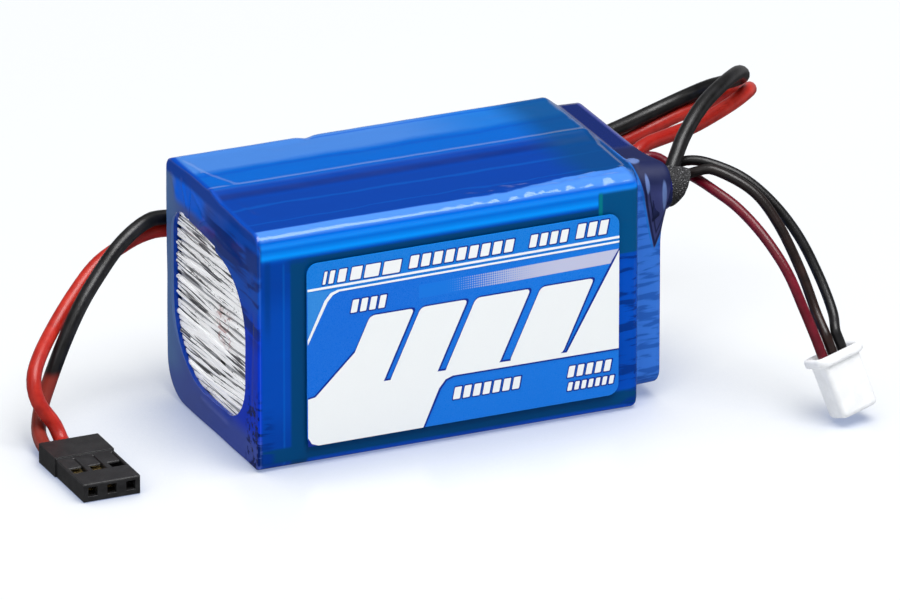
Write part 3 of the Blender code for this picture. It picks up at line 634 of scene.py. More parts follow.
# Each lead's route, in millimetres
BLACK_POWER_ROUTE = (
    (28.6, -10.1, 27.5), (29.9, -9.8, 28.3), (31.6, -8.4, 30.3), (33.9, -6.3, 32.5), (37.6, -3.4, 34.7),
    (42.0, 0.0, 35.7), (46.4, 4.6, 35.0), (49.0, 8.8, 32.7), (49.7, 13.6, 30.2), (48.4, 17.1, 28.4),
    (45.9, 19.1, 26.7), (41.4, 19.6, 25.1), (36.1, 18.6, 24.1), (29.0, 17.0, 23.2), (20.0, 16.1, 22.2),
    (8.0, 15.8, 21.4), (-6.0, 15.8, 21.2), (-18.0, 16.0, 21.9), (-27.2, 16.6, 22.9), (-30.7, 15.6, 23.0),
    (-34.6, 14.1, 21.3), (-38.0, 12.6, 18.6), (-41.5, 10.6, 15.5), (-44.5, 9.0, 11.5), (-47.0, 8.0, 6.8),
    (-48.6, 6.8, 4.0), (-49.8, 4.6, 2.1),
)
RED_POWER_ROUTE = (
    (28.2, -2.0, 28.6), (29.5, -1.7, 29.3), (31.3, -0.6, 29.6), (34.0, 0.9, 29.4), (36.9, 2.4, 29.2),
    (40.7, 4.4, 29.0), (46.6, 7.4, 29.6), (50.6, 10.6, 29.7), (52.0, 13.8, 28.6), (50.3, 17.2, 26.6),
    (45.9, 19.1, 24.6), (41.4, 19.6, 23.0), (36.8, 18.6, 22.1), (29.0, 17.1, 21.1), (20.0, 16.2, 19.9),
    (8.0, 15.8, 19.1), (-6.0, 15.8, 18.9), (-18.0, 16.2, 19.7), (-26.6, 17.2, 20.9), (-30.1, 17.6, 20.6),
    (-33.6, 17.0, 19.6), (-37.3, 15.8, 18.2), (-41.0, 13.8, 15.8), (-44.8, 11.3, 12.9), (-48.4, 7.6, 10.7),
    (-50.1, 5.3, 8.7), (-49.9, 4.2, 6.1), (-48.2, 3.5, 3.3),
)
MAROON_BALANCE_ROUTE = (
    (28.2, -4.2, 28.6), (29.6, -4.1, 29.4), (31.3, -4.3, 29.0), (32.8, -5.8, 27.9), (34.1, -8.7, 27.6),
    (35.4, -11.8, 26.8), (37.4, -14.9, 25.1), (39.1, -18.9, 22.5), (40.7, -22.4, 18.8), (42.0, -24.8, 14.2),
)
BROWN_BALANCE_ROUTE = (
    (28.5, -8.3, 26.6), (30.1, -8.3, 26.8), (32.0, -9.0, 28.0), (33.8, -10.1, 28.9), (35.8, -11.4, 29.2),
    (39.5, -14.6, 27.0), (41.8, -17.3, 23.2), (43.6, -20.4, 17.6), (44.4, -23.2, 13.0),
)
BLACK_BALANCE_ROUTE = (
    (28.5, -7.5, 28.0), (30.0, -7.4, 28.2), (31.8, -7.0, 28.8), (33.8, -7.6, 29.5), (36.1, -9.1, 29.3),
    (39.6, -11.6, 27.7), (42.6, -14.2, 24.7), (44.9, -17.0, 20.8), (46.3, -20.1, 16.3), (46.7, -23.2, 12.7),
)


def smooth_route(route, spacing):
    """Evenly spaced points on a Catmull-Rom curve through the route."""
    knots = [Vector(point) for point in route]
    ends = [2 * knots[0] - knots[1]] + knots + [2 * knots[-1] - knots[-2]]
    dense = []
    for a, b, c, d in zip(ends, ends[1:], ends[2:], ends[3:]):
        for step in range(16):
            t = step / 16
            dense.append(0.5 * (2 * b + (c - a) * t + (2 * a - 5 * b + 4 * c - d) * t**2
                                + (3 * b - a - 3 * c + d) * t**3))
    dense.append(knots[-1])
    lengths = [0.0]
    for a, b in zip(dense, dense[1:]):
        lengths.append(lengths[-1] + (b - a).length)
    count = int(lengths[-1] / spacing)
    points = []
    index = 0
    for step in range(count + 1):
        target = lengths[-1] * step / count
        while index < len(dense) - 2 and lengths[index + 1] < target:
            index += 1
        share = (target - lengths[index]) / (lengths[index + 1] - lengths[index])
        points.append(dense[index].lerp(dense[index + 1], share))
    return points


def servo_ending(index):
    x = SERVO_CENTRE + index * SERVO_PITCH
    return [(x, y, 0.0013) for y in (0.0020, 0.0010, 0.0, -0.0042)]


def balance_ending(index):
    return [BALANCE_FRAME @ Vector((index * BALANCE_PITCH, 0.0, ahead)) for ahead in (0.0022, 0.0010, -0.0006)]


def add_lead(node, start, route, ending, diameter, material):
    """A round lead from inside the pack to its contact. The start (y, z) and the route are in millimetres."""
    inside = [mm(LEAD_START + ahead, *start) for ahead in (0.0, 0.6)]
    points = smooth_route([*inside, *(mm(*point) for point in route), *ending], 0.5 * diameter)
    name = node + "_wire"
    curve = bpy.data.curves.new(name, "CURVE")
    curve.dimensions = "3D"
    curve.bevel_depth = diameter / 2
    curve.bevel_resolution = 5
    curve.use_fill_caps = True
    spline = curve.splines.new("POLY")
    spline.points.add(len(points) - 1)
    spline.use_smooth = True
    for knot, point in zip(spline.points, points):
        knot.co = (*point, 1.0)
    curve.materials.append(MATERIALS[material])
    lead = add_object(name, curve)
    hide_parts(node)
    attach(lead, "root")


# ---- mesh helpers


def add_piece(name, points, faces, sharp_angle, material, slot, *nodes):
    """Makes a piece that rides on the pack, and hides the CAD nodes that it stands for."""
    mesh = bpy.data.meshes.new(name)
    mesh.from_pydata([tuple(point) for point in points], [], faces)
    shape = bmesh.new()
    shape.from_mesh(mesh)
    bmesh.ops.recalc_face_normals(shape, faces=shape.faces)
    shape.to_mesh(mesh)
    shape.free()
    mesh.shade_smooth()
    mesh.set_sharp_from_angle(angle=math.radians(sharp_angle))
    mesh.materials.append(MATERIALS[material])
    piece = add_object(name, mesh)
    if nodes:
        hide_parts(*nodes)
    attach(piece, "root")
    return piece


def grid_faces(rows, count):
    """Faces between closed rows of points, one row after another."""
    faces = []
    for row in range(rows - 1):
        for i in range(count):
            j = (i + 1) % count
            faces.append((row * count + i, row * count + j, (row + 1) * count + j, (row + 1) * count + i))
    return faces


def capped_faces(start, rows, count):
    """Faces of a solid whose rows of points begin at start, with a cap on the first row and the last."""
    last = start + (rows - 1) * count
    faces = [tuple(start + i for i in quad) for quad in grid_faces(rows, count)]
    return faces + [tuple(range(start, start + count)), tuple(range(last, last + count))]


def arc(across, up, radius, start, steps):
    """Points along a quarter circle, its centre at (across, up)."""
    angles = [math.radians(start + 90 * step / (steps - 1)) for step in range(steps)]
    return [(across + radius * math.cos(angle), up + radius * math.sin(angle)) for angle in angles]


def ring_solid(rings):
    """Points and faces of a closed loop of rings: the last one joins the first."""
    points = [point for ring in rings for point in ring]
    count = len(rings[0])
    last = len(points) - count
    faces = grid_faces(len(rings), count)
    faces += [(i, (i + 1) % count, last + (i + 1) % count, last + i) for i in range(count)]
    return points, faces


def lattice_solid(xs, ys, zs, solid, place):
    """Points and faces round the filled cells of a grid of planes, in millimetres."""
    corners = {}
    points = []
    faces = []

    def corner(i, j, k):
        if (i, j, k) not in corners:
            corners[i, j, k] = len(points)
            points.append(place @ mm(xs[i], ys[j], zs[k]))
        return corners[i, j, k]

    def filled(i, j, k):
        inside = 0 <= i < len(xs) - 1 and 0 <= j < len(ys) - 1 and 0 <= k < len(zs) - 1
        return inside and solid((xs[i] + xs[i + 1]) / 2, (ys[j] + ys[j + 1]) / 2, (zs[k] + zs[k + 1]) / 2)

    cells = [(i, j, k) for i in range(len(xs) - 1) for j in range(len(ys) - 1) for k in range(len(zs) - 1)]
    for cell in cells:
        for axis, side in ((0, 0), (0, 1), (1, 0), (1, 1), (2, 0), (2, 1)):
            near = list(cell)
            near[axis] += 1 if side else -1
            if not filled(*cell) or filled(*near):
                continue
            loop = []
            for a, b in ((0, 0), (1, 0), (1, 1), (0, 1)):
                at = list(cell)
                at[axis] += side
                at[(axis + 1) % 3] += a
                at[(axis + 2) % 3] += b
                loop.append(corner(*at))
            faces.append(loop if side else loop[::-1])
    return points, faces


def soften(piece, width):
    modifier = piece.modifiers.new("soft_edges", "BEVEL")
    modifier.width = width
    modifier.segments = 2
    modifier.limit_method = "ANGLE"
    modifier.angle_limit = math.radians(40)
    modifier.harden_normals = True


def add_wall(piece, thickness):
    wall = piece.modifiers.new("wall", "SOLIDIFY")
    wall.thickness = thickness
    wall.offset = -1.0


# ---- plugs


def add_servo_plug():
    """Black three-way shell with its wire mouths, contact bores, latch windows and slots."""
    pitch = SERVO_PITCH / MM
    ways = (-pitch, 0.0, pitch)

    # Openings at each way: left and right of its middle, then y from and to, then z from and to
    openings = (
        (-1.1, 1.1, -4.5, 0.0, 0.2, 2.4), (-0.95, 0.95, -12.8, -4.5, 0.45, 2.1),
        (-0.6, 0.6, -14.2, -12.8, 0.7, 1.9), (-0.95, 0.95, -10.4, -8.7, 2.1, 2.6),
        (0.75, 0.95, -8.7, -5.9, 2.1, 2.6),
    )

    def solid(x, y, z):
        narrow_nose = y < -5.3 and (abs(x) > 3.8 or z > 2.45)
        return not narrow_nose and not any(
            left < x - way < right and front < y < back and low < z < high
            for way in ways for left, right, front, back, low, high in openings)

    offsets = (-1.1, -0.95, -0.6, 0.6, 0.75, 0.95, 1.1)
    xs = sorted({-4.0, -3.8, 3.8, 4.0} | {round(way + offset, 3) for way in ways for offset in offsets})
    ys = (-14.2, -12.8, -10.4, -8.7, -5.9, -5.3, -4.5, 0.0)
    zs = (0.0, 0.2, 0.45, 0.7, 1.9, 2.1, 2.4, 2.45, 2.6)
    points, faces = lattice_solid(xs, ys, zs, solid, Matrix.Translation((SERVO_CENTRE, 0.0, 0.0)))
    plug = add_piece("servo_plug_shell", points, faces, 60, "black_plastic", "black_plastic",
                     "servo_plug_housing")
    soften(plug, 0.0001)
    return plug


def rounded_outline(half_x, half_y, radius):
    """Points round a rectangle with round corners, in its own plane."""
    points = []
    for side_x, side_y, start in ((1, 1, 0), (-1, 1, 90), (-1, -1, 180), (1, -1, 270)):
        points += arc(side_x * (half_x - radius), side_y * (half_y - radius), radius, start, 8)
    return points


def add_balance_plug():
    """White plug with a boat-shaped lip round its wire end. The frame hangs down from the wire end."""
    levels = (
        (-8.2, 2.30, 1.60, 0.5), (-8.0, 2.55, 1.85, 0.6), (-7.6, 2.68, 1.98, 0.6), (-1.6, 2.70, 2.00, 0.6),
        (-1.25, 2.74, 2.06, 0.7), (-1.12, 3.20, 2.45, 1.1), (-0.95, 3.45, 2.58, 1.3), (-0.3, 3.50, 2.60, 1.4),
        (-0.08, 3.42, 2.50, 1.35), (0.0, 3.20, 2.25, 1.2), (-0.02, 2.90, 1.55, 0.6), (-0.2, 2.75, 1.35, 0.5),
        (-1.1, 2.70, 1.30, 0.5),
    )
    points = []
    for z, *outline in levels:
        points += [BALANCE_FRAME @ mm(x, y, z) for x, y in rounded_outline(*outline)]
    faces = capped_faces(0, len(levels), len(points) // len(levels))
    return add_piece("balance_plug_shell", points, faces, 50, "white_plastic", "white_plastic",
                     "balance_plug_housing")


servo_plug = add_servo_plug()
balance_plug = add_balance_plug()

add_lead("power_lead_black", (-10.2, 27.7), BLACK_POWER_ROUTE, servo_ending(-1), POWER_LEAD,
         "black_power_wire")
add_lead("power_lead_red", (-2.2, 27.9), RED_POWER_ROUTE, servo_ending(0), POWER_LEAD,
         "red_wire")
add_lead("balance_lead_maroon", (-4.3, 27.9), MAROON_BALANCE_ROUTE, balance_ending(-1), BALANCE_LEAD,
         "maroon_wire")
add_lead("balance_lead_brown", (-8.6, 26.9), BROWN_BALANCE_ROUTE, balance_ending(0), BALANCE_LEAD,
         "brown_wire")
add_lead("balance_lead_black", (-7.4, 27.9), BLACK_BALANCE_ROUTE, balance_ending(1), BALANCE_LEAD,
         "black_wire")

# ---- shrink film

SIDE_STEPS = (26, 52, 110, 84)
CORNER_STEPS = 9


def smooth(value, low, high):
    """0 at low, 1 at high, smooth between."""
    t = min(max((value - low) / (high - low), 0.0), 1.0)
    return t * t * (3 - 2 * t)


def hump(value, centre, width):
    return math.exp(-(((value - centre) / width) ** 2))


def top_height(y, top_front, top_back, ridge):
    """Height of the top across the pack: level at the back, a ridge over the middle, level at the front."""
    if ridge is None:
        return top_front + (top_back - top_front) * (y + HALF_WIDTH) / (2 * HALF_WIDTH)
    front_part = top_front + 0.26 * smooth(y, -13.0, -1.5)
    back_part = ridge - 0.12 - 0.15 * smooth(y, 5.0, 13.0)
    height = front_part + (back_part - front_part) * smooth(y, -3.2, 0.6)
    return height + 0.14 * hump(y, 0.75, 0.55)


def dense_section(front, back, bottom, top_front, top_back, radii, ridge=None):
    """Points (y, z) in millimetres round a section: bottom, back, top and front, with corners between."""
    corners = (
        (front, bottom, 1, 1, 180), (back, bottom, -1, 1, 270), (back, top_back, -1, -1, 0),
        (front, top_front, 1, -1, 90),
    )
    arcs = [arc(y + side_y * radius, z + side_z * radius, radius, start, CORNER_STEPS)
            for (y, z, side_y, side_z, start), radius in zip(corners, radii)]
    points = []
    for index, corner in enumerate(arcs):
        points += corner
        last, following = corner[-1], arcs[(index + 1) % 4][0]
        for step in range(1, SIDE_STEPS[index]):
            t = step / SIDE_STEPS[index]
            y, z = last[0] + t * (following[0] - last[0]), last[1] + t * (following[1] - last[1])
            if index == 2:
                blend = smooth(t, 0.0, 0.06) * smooth(t, 1.0, 0.94)
                z += blend * (top_height(y, top_front, top_back, ridge) - z)
            points.append((y, z))
    return points


def pack_section(inset):
    radii = [max(radius - inset, 0.4) for radius in PACK_RADII]
    front, back = -HALF_WIDTH + inset, HALF_WIDTH - inset
    return dense_section(front, back, inset, TOP_FRONT - inset, TOP_BACK - inset, radii, RIDGE_TOP - inset)


def step_section(inset):
    front, back, bottom, top = STEP
    radii = [max(radius - inset, 0.4) for radius in STEP_RADII]
    return dense_section(front + inset, back - inset, bottom + inset, top - inset, top - inset, radii)


def blend_sections(first, second, share):
    return [(a + share * (c - a), b + share * (d - b)) for (a, b), (c, d) in zip(first, second)]


def film_sections():
    """Each an x with its (y, z) points, from inside the plain end's window to inside the lead end's."""
    window = dense_section(*WINDOW)
    rear = dense_section(*REAR_WINDOW)
    edge = pack_section(0.24)
    body = pack_section(0.0)
    inset_body = pack_section(0.3)
    step_full = step_section(-0.2)
    step_last = step_section(0.6)
    start, end, count = BLOCK_START + 0.6, BLOCK_END - 0.8, 124
    rows = [(BLOCK_START + 1.05, blend_sections(window, edge, 0.03)), (BLOCK_START + 0.60, window),
            (BLOCK_START + 0.25, window)]
    rows += [(BLOCK_START + 0.16 - 0.16 * share, blend_sections(window, edge, share))
             for share in (step / 25 for step in range(25))]
    rows += [(BLOCK_START + ahead, pack_section(inset))
             for ahead, inset in ((0.0, 0.24), (0.03, 0.14), (0.10, 0.06), (0.20, 0.02), (0.35, 0.0))]
    rows += [(start + (end - start) * step / count, body) for step in range(count + 1)]
    rows += [(BLOCK_END - 0.5, pack_section(0.08)), (BLOCK_END - 0.25, pack_section(0.25))]
    rows += [(BLOCK_END + ahead, blend_sections(inset_body, step_full, share))
             for ahead, share in ((-0.05, 0.15), (0.15, 0.45), (0.35, 0.75))]
    rows.append((BLOCK_END + 0.6, step_full))
    rows += [(BLOCK_END + 0.8 + 0.2 * step, step_section(-0.1 + 0.007 * step)) for step in range(13)]
    rows += [(PACK_END - back, step_section(inset)) for back, inset in ((0.4, 0.0), (0.2, 0.1), (0.05, 0.3))]
    rows += [(PACK_END - 0.1 * step / 14, blend_sections(step_last, rear, step / 14)) for step in range(15)]
    rows.append((PACK_END - 0.45, rear))
    return rows


# Pinched folds on the plain end: from (y, z) to (y, z), half width, strength
END_CREASES = (
    (12.6, 30.2, 11.3, 28.4, 0.35, 0.3), (9.6, 30.4, 8.6, 27.6, 0.3, 0.26), (6.9, 30.4, 8.2, 25.6, 0.16, -0.22),
    (6.9, 30.2, 2.4, 27.9, 0.3, 0.18), (2.4, 27.9, 4.6, 26.4, 0.22, -0.16), (-1.0, 26.6, -8.6, 26.0, 0.5, 0.16),
    (-10.6, 23.0, -13.0, 25.6, 0.35, 0.22), (-12.4, 20.0, -11.6, 8.0, 0.5, -0.18),
    (-11.0, 5.0, -13.0, 2.2, 0.4, 0.2), (12.9, 24.0, 12.7, 8.0, 0.4, 0.12), (4.0, 2.9, -4.0, 2.5, 0.4, 0.12),
)
# Gathered lip round the plain end's top edge: from (x, y) to (x, y), half width, strength
END_LIPS = (
    (-27.6, 12.5, -26.6, 6.0, 0.45, 1.0), (-26.6, 6.0, -24.8, 1.6, 0.45, 1.0),
    (-26.2, -3.0, -25.6, -8.0, 0.4, 0.8),
)


def ridges(a, b, lines):
    """What soft ridges along the lines add up to at (a, b)."""
    height = 0.0
    for a0, b0, a1, b1, width, strength in lines:
        along = (a1 - a0, b1 - b0)
        t = ((a - a0) * along[0] + (b - b0) * along[1]) / (along[0] ** 2 + along[1] ** 2)
        t = min(max(t, 0.0), 1.0)
        height += strength * hump(math.hypot(a - a0 - t * along[0], b - b0 - t * along[1]), 0.0, width)
    return height


def wave(*place):
    return noise.noise(Vector(place))


def crumple(x, y, z):
    """The film point after its wrinkles, in millimetres."""
    drift = wave(x * 0.09, y * 0.16, z * 0.16)
    on_top = smooth(z, 30.6, 31.4) * smooth(x, -27.6, -26.0) * smooth(x, 24.6, 23.0)
    on_body = smooth(x, -27.0, -25.0) * smooth(x, 24.4, 23.0)
    amount = 0.05 * drift + 0.02 * wave(x * 0.35 + 9.0, y * 0.6, z * 0.6)
    # Shallow fold along the top, and puddled film over the shoulder near the lead end
    z -= on_top * 0.03 * hump(y, 5.6 + 1.2 * wave(x * 0.12, 3.1, 0.0), 1.0)
    shoulder = smooth(y, -9.0, -12.4) * smooth(z, 29.6, 31.0) * smooth(x, -8.0, 14.0) * smooth(x, 25.0, 23.0)
    z += 0.16 * shoulder * (wave(x * 0.55, y * 0.8, 2.0) + 0.5 * wave(x * 1.3, y * 1.5, 7.0))
    z += on_top * amount
    z += 0.14 * ridges(x, y, END_LIPS) * smooth(z, 30.6, 31.4)
    # Small pinch at the back edge
    z -= 0.30 * hump(x, -9.6, 0.9) * hump(y, 13.6, 1.2) * smooth(z, 30.0, 31.0)
    if y < -13.5 and 1.0 < z < 30.5:
        y += on_body * 0.5 * amount * smooth(z, 30.5, 28.0)
    # Creases on the plain end
    if x < BLOCK_START + 0.5:
        lift = 0.55 * ridges(y, z, END_CREASES) + 0.12 * drift
        bulge = 0.22 * smooth(y, 8.0, 14.0)
        x -= (bulge + max(min(lift, 0.28), -0.22)) * smooth(x, BLOCK_START + 0.5, BLOCK_START + 0.2)
    # The film drawn out to the spout, as a fold that narrows downwards
    rise = smooth(z, 19.5, 30.0)
    pull = rise * hump(y, -10.4 - 1.2 * rise, 1.0 + 2.4 * rise) * smooth(x, 24.9, 27.4)
    x += 1.25 * pull
    y -= 0.55 * pull
    # Two long drops in the drawn film
    for drop_x, drop_z, wide, tall in ((25.7, 28.6, 0.45, 1.4), (27.6, 26.6, 0.55, 2.2)):
        y -= 0.45 * hump(x, drop_x, wide) * hump(z, drop_z, tall) * smooth(y, -9.0, -11.0)
    # Drop of film at the corner of the block
    z += 0.45 * hump(math.hypot(x - 25.2, y + 9.6), 0.0, 0.9) * smooth(z, 30.6, 31.2)
    return x, y, z


def add_film():
    rows = film_sections()
    points = [mm(*crumple(x, y, z)) for x, section in rows for y, z in section]
    faces = grid_faces(len(rows), len(rows[0][1]))
    film = add_piece("film_shell", points, faces, 75, "film", "blue_film", "shrink_film")
    add_wall(film, 0.00012)


def oval(x, half_y, half_z, centre_z, lean, folds):
    """A ring round the leads, pleated by the folds."""
    steps = 56
    ring = []
    for step in range(steps):
        angle = 2 * math.pi * step / steps
        swell = 1.0 + folds * math.cos(7 * angle + 0.6) + 0.6 * folds * math.cos(11 * angle)
        ring.append(mm(x + lean * math.sin(angle), -9.3 + half_y * swell * math.cos(angle),
                       centre_z + half_z * swell * math.sin(angle)))
    return ring


def add_spout():
    """The film's end, gathered round the taped leads."""
    rings = (
        (26.6, 3.5, 4.4, 25.9, 0, 0.01), (27.4, 3.6, 3.9, 26.4, 0, 0.04), (28.1, 3.5, 3.3, 27.0, 0, 0.04),
        (28.8, 3.35, 3.05, 27.3, 0.1, 0.02), (29.3, 3.30, 3.00, 27.4, 0.1, 0.02),
        (29.45, 3.22, 2.92, 27.4, 0.1, 0.01), (29.35, 3.12, 2.82, 27.4, 0.1, 0.01),
        (28.2, 3.10, 2.80, 27.4, 0, 0),
    )
    points, faces = ring_solid([oval(*ring) for ring in rings])
    add_piece("film_spout", points, faces, 60, "spout", "blue_film")


def tape_ring(half_y, half_z, at_end):
    """One ring of the exit tape. The end ring runs out to a slanting tongue at the front."""
    steps = 72
    ring = []
    for step in range(steps):
        angle = 2 * math.pi * step / steps
        z = half_z * math.sin(angle)
        tongue = smooth(-math.cos(angle), 0.0, 0.6) * min(max((z + 2.9) / 5.2, 0.0), 1.0)
        ragged = 0.10 * wave(math.cos(angle) * 4, math.sin(angle) * 4, 1.0)
        x = 29.6 + 2.9 * tongue + ragged if at_end else 28.0
        flare = 1.0 + (0.03 + 0.05 * tongue if at_end else 0.0)
        ring.append(mm(x, -9.3 + half_y * flare * math.cos(angle), 27.45 + z * (1.0 + 0.04 * tongue)))
    return ring


def add_exit_tape():
    """Cloth tape round the leads: a short sleeve, out along the inside and back along the outside."""
    inner, outer = (2.86, 2.56), (3.08, 2.76)
    length_steps = 8
    rings = []
    for half_sizes, ends in ((inner, (False, True)), (outer, (True, False))):
        first, last = [tape_ring(*half_sizes, at_end) for at_end in ends]
        for step in range(length_steps + 1):
            rings.append([a.lerp(b, step / length_steps) for a, b in zip(first, last)])
    points, faces = ring_solid(rings)
    add_piece("lead_exit_tape_cloth", points, faces, 50, "cloth", "black_cloth_tape", "lead_exit_tape")


# ---- wrap


def add_wrap():
    """Dark backing of the wrap, set back behind the strands."""
    hood = step_section(0.5)
    rows = [(x, pack_section(inset)) for x, inset in ((-26.5, 1.3), (-26.3, 0.9), (-25.8, 0.5), (22.4, 0.5))]
    rows += [(BLOCK_END - 0.6, blend_sections(pack_section(1.1), hood, 0.3)), (BLOCK_END, hood), (25.6, hood)]
    count = len(hood)
    points = [mm(x, y, z) for x, section in rows for y, z in section]
    faces = grid_faces(len(rows), count) + [tuple(range(count))]
    add_wall(add_piece("wrap_backing", points, faces, 40, "wrap", "striped_wrap", "filament_wrap"), 0.0002)


def add_strands():
    """Flattened strands across the plain end, each on its own slightly wandering line."""
    around = 8
    along = 30
    # Height, climb, x and half width of each strand
    lines = [(1.4 + 0.78 * index, 1.4, -27.12, 0.30) for index in range(34)]
    lines += [(9.4 + 2.3 * index, 0.1, -27.32, 0.20) for index in range(6)]
    lines += [(6.4, 0.9, -27.3, 0.24), (20.2, 2.4, -27.3, 0.22)]
    points = []
    faces = []
    for index, (height, climb, depth_x, thick) in enumerate(lines):
        seed = index * 1.7
        width = thick + 0.16 * wave(seed, 4.0, 0.0)
        start = len(points)
        # The back end stops inside the film's rounded bottom corner
        back = min(13.2, 8.4 + math.sqrt(max(25.0 - (5.7 - min(height, 5.7)) ** 2, 0.0)))
        for step in range(along):
            t = step / (along - 1)
            y = back - (back + 12.4) * t
            sway = 0.55 * wave(t * 1.3, seed * 0.35, 1.0) + 0.10 * wave(t * 5, seed, 2.0)
            z = height + climb * (t - 0.5) + sway
            half = width * (1.0 + 0.25 * wave(t * 5.0, seed, 5.0))
            depth = 0.12 + 0.04 * wave(t * 4.0, seed, 8.0)
            for side in range(around):
                angle = 2 * math.pi * side / around
                points.append(mm(depth_x + depth * math.cos(angle), y, z + half * math.sin(angle)))
        faces += capped_faces(start, along, around)
    add_piece("end_strands", points, faces, 60, "strands", "striped_wrap")


# ---- label print

LABEL_FACE = -14.85
SLANT = 0.46
TICK_SLANT = 0.2
PRINT_STEP = 0.0003
# Thickness of the prints that lie over one another
FIRST_PRINT, SECOND_PRINT, THIRD_PRINT = 0.006, 0.012, 0.018

# Growing bars on one line: left, width
BARS = ((8.5, 0.4), (9.3, 0.65), (10.5, 1.05), (12.2, 1.45), (14.1, 2.0), (16.6, 2.35))
# Rows of short ticks: left of the first, pitch, number, width, bottom, top
TICK_ROWS = (
    (20.2, 1.62, 9, 1.15, 24.35, 26.0), (36.6, 1.4, 4, 0.95, 24.45, 26.1), (43.0, 1.55, 3, 1.1, 24.6, 26.5),
    (12.3, 1.25, 4, 0.85, 19.7, 21.4), (26.2, 1.35, 7, 0.95, 5.7, 7.3), (41.9, 1.25, 5, 0.85, 6.0, 7.5),
    (41.9, 0.95, 7, 0.6, 4.2, 5.3),
)
# Big slanted blocks: left, width
BLOCKS = ((10.6, 6.0), (17.5, 6.4), (25.0, 7.5), (33.9, 7.3))


def print_solid(name, outlines, depth, material):
    """Thin solid print on the label. The outlines are (x, z) from the pack's bottom plain-end corner."""
    points = []
    faces = []
    for number, outline in enumerate(outlines):
        faces += capped_faces(len(points), 2, len(outline))
        for y in (LABEL_FACE, LABEL_FACE - depth - PRINT_STEP * number):
            points += [mm(x + BLOCK_START, y, z) for x, z in outline]
    add_piece(name, points, faces, 30, material, "label_print")


def round_corners(corners, radius, steps):
    outline = []
    for index, corner in enumerate(corners):
        here = Vector(corner)
        before = Vector(corners[index - 1]) - here
        after = Vector(corners[(index + 1) % len(corners)]) - here
        cut = min(radius, before.length * 0.45, after.length * 0.45)
        start, end = here + before.normalized() * cut, here + after.normalized() * cut
        for step in range(steps + 1):
            t = step / steps
            outline.append(tuple(start * (1 - t) ** 2 + here * 2 * t * (1 - t) + end * t * t))
    return outline


def slanted(left, width, low, high, slant, grow=0.0):
    """Corners of a block that leans to the right."""
    low, high = low - grow, high + grow
    right = left + width + grow
    left -= grow
    lean = slant * (high - low)
    return [(left, low), (right, low), (right + lean, high), (left + lean, high)]


def add_label_print():
    """Bars, ticks, lines and blocks in place of any lettering. Navy shapes under the white ones edge them."""
    shapes = [((left, width, 24.1, 25.8), 0.14) for left, width in BARS]
    for first, pitch, number, width, low, high in TICK_ROWS:
        shapes += [((first + pitch * i, width, low, high), 0.16) for i in range(number)]
    white = [round_corners(slanted(*sides, TICK_SLANT), 0.12, 3) for sides, _ in shapes]
    navy = [round_corners(slanted(*sides, TICK_SLANT, grow), 0.22, 3) for sides, grow in shapes]
    for left, width in BLOCKS:
        navy.append(round_corners(slanted(left, width, 9.4, 18.9, SLANT, 0.18), 0.8, 5))

    # Two thin lines, the lower one turning down to the left edge
    white += [
        [(6.5, 23.45), (49.0, 23.75), (49.0, 24.05), (6.5, 23.75)],
        [(49.0, 23.15), (49.0, 23.4), (10.6, 23.1), (9.6, 22.8), (8.8, 21.9), (6.5, 17.0), (6.5, 16.3),
         (9.2, 21.7), (9.9, 22.5), (10.8, 22.85)],
    ]
    for left, width in BLOCKS:
        white.append(round_corners(slanted(left, width, 9.4, 18.9, SLANT), 0.7, 5))
    # The wedges at both ends of the blocks, and the strip below that joins them
    navy += [
        [(7.2, 9.2), (8.4, 9.2), (13.6, 9.2), (17.0, 17.2), (13.7, 15.4)],
        [(41.4, 9.2), (49.0, 9.0), (49.0, 22.4), (48.1, 21.0)],
        [(6.5, 9.2), (7.6, 9.4), (8.6, 9.9), (24.0, 10.1), (49.0, 9.5), (49.0, 8.65), (26.4, 8.75), (25.4, 8.4),
         (24.6, 7.4), (22.4, 2.6), (6.5, 2.6)],
    ]
    white += [
        [(7.5, 9.15), (13.6, 9.15), (16.8, 17.0), (13.8, 15.2)],
        [(41.8, 9.4), (49.0, 9.2), (49.0, 22.1), (48.3, 20.8)],
        [(6.5, 9.0), (7.7, 9.2), (8.7, 9.7), (24.0, 9.85), (49.0, 9.3), (49.0, 8.85), (26.2, 8.95), (25.2, 8.6),
         (24.3, 7.5), (22.15, 2.6), (7.9, 2.6), (7.0, 2.95), (6.5, 3.8)],
    ]
    panel = [(22.6, 2.62), (47.6, 2.62), (48.5, 3.0), (48.98, 4.0), (48.98, 8.6), (26.5, 8.7), (25.5, 8.3),
             (24.8, 7.4)]
    wedge = [(6.5, 23.4), (10.2, 23.1), (9.2, 22.6), (8.6, 21.6), (6.5, 17.1)]
    dots = [(21.6, 20.1), (47.9, 20.5), (48.98, 22.3), (21.6, 21.9)]
    print_solid("label_print_azure", [panel], FIRST_PRINT, "azure_print")
    print_solid("label_print_sky", [wedge], FIRST_PRINT, "sky_print")
    print_solid("label_print_dots", [dots], FIRST_PRINT, "dots")
    print_solid("label_print_navy", navy, SECOND_PRINT, "navy_print")
    print_solid("label_print_white", white, THIRD_PRINT, "white_print")


add_film()
add_spout()
add_exit_tape()
add_wrap()
add_strands()
add_label_print()

# ---- finishes of the CAD nodes that stay

NODES_BY_MATERIAL = {
    "label": ("front_label",),
    "pouch": ("front_cell", "rear_cell"),
    "foam": ("cell_gap_pad", "board_foam_cover"),
    "paper": ("board_insulator",),
    "board": ("connection_board",),
    "nickel": ("series_link_strip", "front_negative_tab", "rear_negative_tab"),
    "aluminium": ("front_positive_tab", "rear_positive_tab"),
    "gold": ("servo_contact_1", "servo_contact_2"),
    "tin": ("balance_contact_1", "balance_contact_2", "balance_contact_3"),
    "solder": tuple(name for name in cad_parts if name.endswith("_solder")),
}


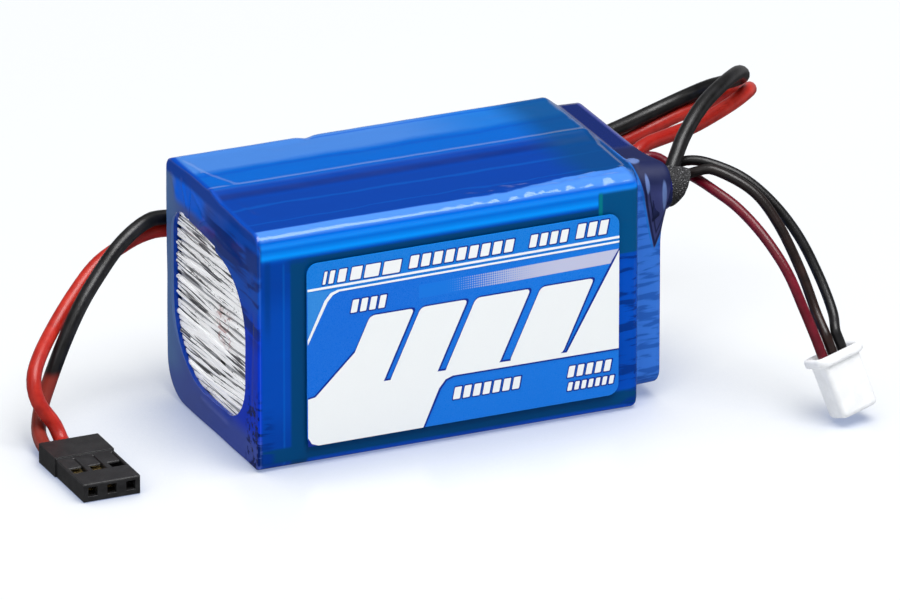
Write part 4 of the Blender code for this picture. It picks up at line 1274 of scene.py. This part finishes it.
def finish_nodes():
    for material, names in NODES_BY_MATERIAL.items():
        for name in names:
            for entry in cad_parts[name].material_slots:
                entry.material = MATERIALS[material]


finish_nodes()

# ---- floor, light and background


def add_floor():
    colour = (0.27, 0.275, 0.28)
    shade = Shade("pale_floor", colour, Roughness=0.28, Specular_IOR_Level=0.5, Emission_Strength=0.62)
    # Painted bluish shadow: the floor's glow dims where the pack and the plugs stand near
    contact = shade.add("ShaderNodeAmbientOcclusion", {"Distance": 0.022}).outputs["AO"]
    glow = shade.mix(shade.rise(contact, 0.42, 0.99), (0.38, 0.46, 0.68), (0.94, 0.97, 1.0))
    shade.put(shade.shader.inputs["Emission Color"], glow)
    shade.paint((0.28, 0.285, 0.29), shade.noise(0.01))
    half = 8.0
    mesh = bpy.data.meshes.new("floor")
    corners = [(-half, -half, 0), (half, -half, 0), (half, half, 0), (-half, half, 0)]
    mesh.from_pydata(corners, [], [(0, 1, 2, 3)])
    mesh.materials.append(shade.material)
    floor = add_object("floor", mesh)
    floor.location.z = -0.0001
    floor.visible_glossy = False


def add_softbox(name, location, target, size, power):
    data = bpy.data.lights.new(name, "AREA")
    data.shape = "RECTANGLE"
    data.size, data.size_y = size
    data.energy = power
    aim(add_object(name, data), location, Vector(target) - Vector(location))


def add_background():
    """Pale near the horizon and overhead, dark between, as in a light tent with a flag behind the pack."""
    world = bpy.data.worlds.new("studio")
    bpy.context.scene.world = world
    world.use_nodes = True
    nodes = Nodes(world.node_tree)
    towards = nodes.add("ShaderNodeTexCoord").outputs["Generated"]
    up = nodes.add("ShaderNodeSeparateXYZ", {0: towards}).outputs[2]
    height = nodes.add("ShaderNodeMath", {0: up, 1: 0.5, 2: 0.5}, operation="MULTIPLY_ADD").outputs[0]
    ramp = nodes.add("ShaderNodeValToRGB", {0: height})
    # Height from -1, straight down, to 1, with its brightness
    stops = ((-1.0, 0.10), (-0.33, 0.10), (-0.22, 0.4), (-0.1, 0.5), (0.22, 0.5), (0.28, 0.06), (0.62, 0.12),
             (0.75, 0.55), (1.0, 0.6))
    elements = ramp.color_ramp.elements
    while len(elements) < len(stops):
        elements.new(0.5)
    for element, (position, value) in zip(elements, stops):
        element.position = 0.5 + 0.5 * position
        element.color = (value, value, value * 1.02, 1.0)
    nodes.put(world.node_tree.nodes["Background"].inputs["Color"], ramp.outputs[0])


add_floor()
add_softbox("overhead", (0.10, -0.34, 1.00), (0.0, 0.0, 0.02), (0.62, 0.66), 16.5)
add_softbox("left_fill", (-1.1, -0.7, 0.75), (0.0, 0.0, 0.015), (0.7, 0.7), 3.0)
add_background()
bpy.context.scene.view_settings.view_transform = "Standard"
